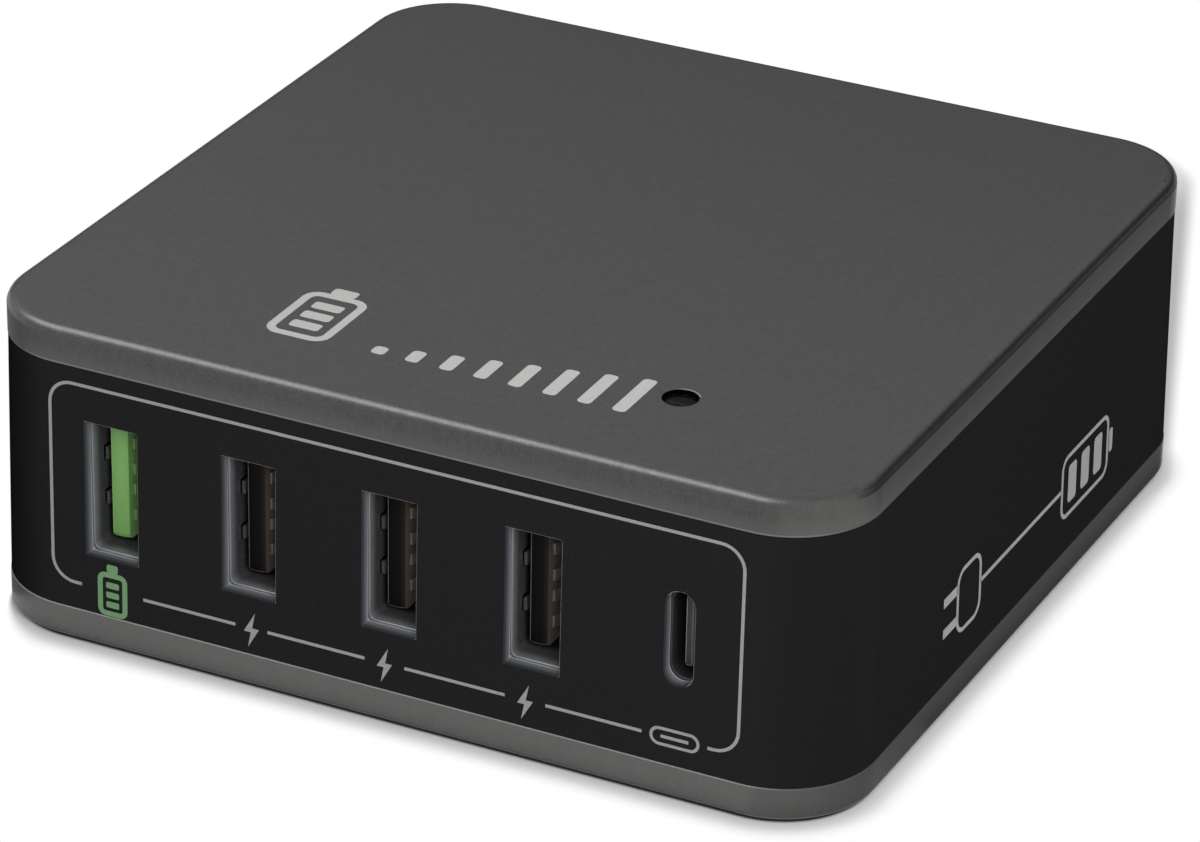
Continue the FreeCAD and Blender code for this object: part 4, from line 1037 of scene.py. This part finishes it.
# Painted shadow behind the tray, laid where a lamp at this spot would throw it; no lamp stands there.
painted_shadow_source = Vector((0.193, -0.406, 0.25))
painted_shadow_edge = 1.4 * MM
thrown_across = (-35 * MM, 25 * MM)
thrown_back = (113 * MM, 90 * MM)
way_up = cad_high.z / painted_shadow_source.z
to_source_x = painted_shadow_source.x - x
to_source_y = painted_shadow_source.y - y
corner_x = tray_high.x - tray_r - x
corner_y = tray_high.y - tray_r - y
way = (corner_x * to_source_x + corner_y * to_source_y).maths("DIVIDE", to_source_x * to_source_x + to_source_y * to_source_y)
way = way.maths("MAXIMUM", 0.0).maths("MINIMUM", way_up)
miss_x = corner_x - way * to_source_x
miss_y = corner_y - way * to_source_y
nearest = (miss_x * miss_x + miss_y * miss_y).maths("SQRT") - tray_r
for step in (1, 2, 3):
    part = step / 3 * way_up
    nearest = nearest.maths("MINIMUM", from_outline(x + part * to_source_x, y + part * to_source_y))
painted_shadow_behind = ramp(nearest, painted_shadow_edge, -0.3 * MM)
painted_shadow_behind = painted_shadow_behind * ramp(x, *thrown_across) * ramp(y, *thrown_back)
bright = start.add("Emission", {}, {"Strength": 1.0})
dim = start.add("Emission", {}, {"Strength": 0.47})
lit = start.add("MixShader", {}, {0: ray(start, "Camera") * painted_shadow_behind, 1: bright, 2: dim})
open_floor = ray(start, "Camera") * ramp(away, 0.0, shadow_reach * to_right)
share = open_floor.maths("MAXIMUM", reflected(start) * ramp(away, 0.0, mirror_reach))
mixed = start.add("MixShader", {}, {0: share, 1: matt, 2: lit})
paper.node_tree.links.new(mixed.socket, paper.node_tree.nodes["Material Output"].inputs["Surface"])
floor_mesh.materials.append(paper)
floor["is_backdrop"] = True

ambient = 0.5
world = bpy.data.worlds.new("white_studio")
bpy.context.scene.world = world
world.use_nodes = True
start = Shade(world.node_tree)
sky = world.node_tree.nodes["Background"]
sky.inputs["Color"].default_value = (1, 1, 1, 1)
strength = ambient + (1 - ambient) * seen_directly(start)
world.node_tree.links.new(strength.socket, sky.inputs["Strength"])


# Lamps and camera: a broad lamp near the camera that isn't mirrored, one high on the left that shows only
# as the light along the lid's front edge, cards and cloths that reflections show, a flag that shades the
# left, and the camera where the photograph was taken from.

def lamp(name, place, power, width, height, lights=True, mirrored=True):
    light = bpy.data.lights.new(name, "AREA")
    light.energy = power
    light.shape = "RECTANGLE"
    light.size = width
    light.size_y = height
    shown = bpy.data.objects.new(name, light)
    shown.location = place
    shown.rotation_mode = "QUATERNION"
    shown.rotation_quaternion = (-Vector(place)).to_track_quat("-Z", "Y")
    shown.visible_diffuse = lights
    shown.visible_glossy = mirrored
    bpy.context.scene.collection.objects.link(shown)


lamp("broad_lamp", (0.38, -0.56, 0.42), 5.4, 0.45, 0.45, mirrored=False)
lamp("edge_lamp", (-0.30, -0.31, 0.55), 4.4, 0.95, 0.3, lights=False)


def card(name, corners, axis, near, far, reflects=True, shades=False):
    """A card that reflections show, or that shades; its level changes along an axis."""
    mesh = bpy.data.meshes.new(name)
    mesh.from_pydata(corners, [], [(0, 1, 2, 3)])
    shown = bpy.data.objects.new(name, mesh)
    bpy.context.scene.collection.objects.link(shown)
    paint = bpy.data.materials.new(name)
    paint.use_nodes = True
    start = Shade(paint.node_tree)
    place = along(start.add("TexCoord", output="Object"), axis)
    ends = [start.add("Emission", {}, {"Strength": level}) for level in (near[1], far[1])]
    glowing = start.add("MixShader", {}, {0: ramp(place, near[0], far[0]), 1: ends[0], 2: ends[1]})
    paint.node_tree.links.new(glowing.socket, paint.node_tree.nodes["Material Output"].inputs["Surface"])
    mesh.materials.append(paint)
    shown.visible_camera = False
    shown.visible_diffuse = shades
    shown.visible_glossy = reflects
    shown.visible_transmission = False
    shown.visible_shadow = False
    shown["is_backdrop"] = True


card("dark_card_behind", [(0.2, 0.5, 0.01), (0.55, 0.25, 0.01), (0.55, 0.25, 0.32), (0.2, 0.5, 0.32)],
     "Z", (0.0, 0.03), (0.4, 0.06))
card("grey_card_behind", [(-0.9, 0.5, 0.01), (0.2, 0.5, 0.01), (0.2, 0.5, 0.6), (-0.9, 0.5, 0.6)],
     "Z", (0.17, 0.06), (0.36, 1.05))
side = tray_high.x
card("dark_cloth_right", [(side + 0.016, 0.01, 0.0002), (side + 0.3, 0.01, 0.0002),
                          (side + 0.3, 0.25, 0.0002), (side + 0.016, 0.25, 0.0002)],
     "X", (side + 0.016, 0.58), (side + 0.03, 0.05))
card("grey_cloth_right", [(side, -0.02, 0.0002), (side + 0.016, -0.02, 0.0002),
                          (side + 0.016, 0.25, 0.0002), (side, 0.25, 0.0002)],
     "X", (side, 0.14), (side + 0.008, 0.58))
card("grey_cloth_corner", [(side - 0.008, -0.06, 0.0002), (side + 0.02, -0.06, 0.0002),
                           (side + 0.02, -0.02, 0.0002), (side - 0.008, -0.02, 0.0002)],
     "Y", (-0.055, 0.9), (-0.02, 0.26))
card("black_flag_left", [(-0.07, -0.09, 0.0), (-0.07, 0.06, 0.0), (-0.07, 0.06, 0.1), (-0.07, -0.09, 0.1)],
     "Z", (0.0, 0.25), (0.1, 0.25), reflects=False, shades=True)
card("dark_cloth_left", [(-0.12, -0.06, 0.0003), (-side, -0.06, 0.0003),
                         (-side, 0.12, 0.0003), (-0.12, 0.12, 0.0003)],
     "X", (-0.12, 0.3), (-side, 0.25), shades=True)

camera = bpy.data.cameras.new("camera")
camera.lens = 165.25
camera.sensor_width = 36.0
camera_place = bpy.data.objects.new("camera", camera)
camera_place.location = (0.196616, -0.405837, 0.239350)
aim = Vector((0.00295, -0.00698, 0.0150))
roll = math.radians(1.09)
camera_place.rotation_mode = "QUATERNION"
look_along = (aim - camera_place.location).to_track_quat("-Z", "Y")
camera_place.rotation_quaternion = look_along @ Quaternion((0, 0, 1), roll)
bpy.context.scene.collection.objects.link(camera_place)
bpy.context.scene.camera = camera_place
bpy.context.scene.view_settings.view_transform = "Standard"

low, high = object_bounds()
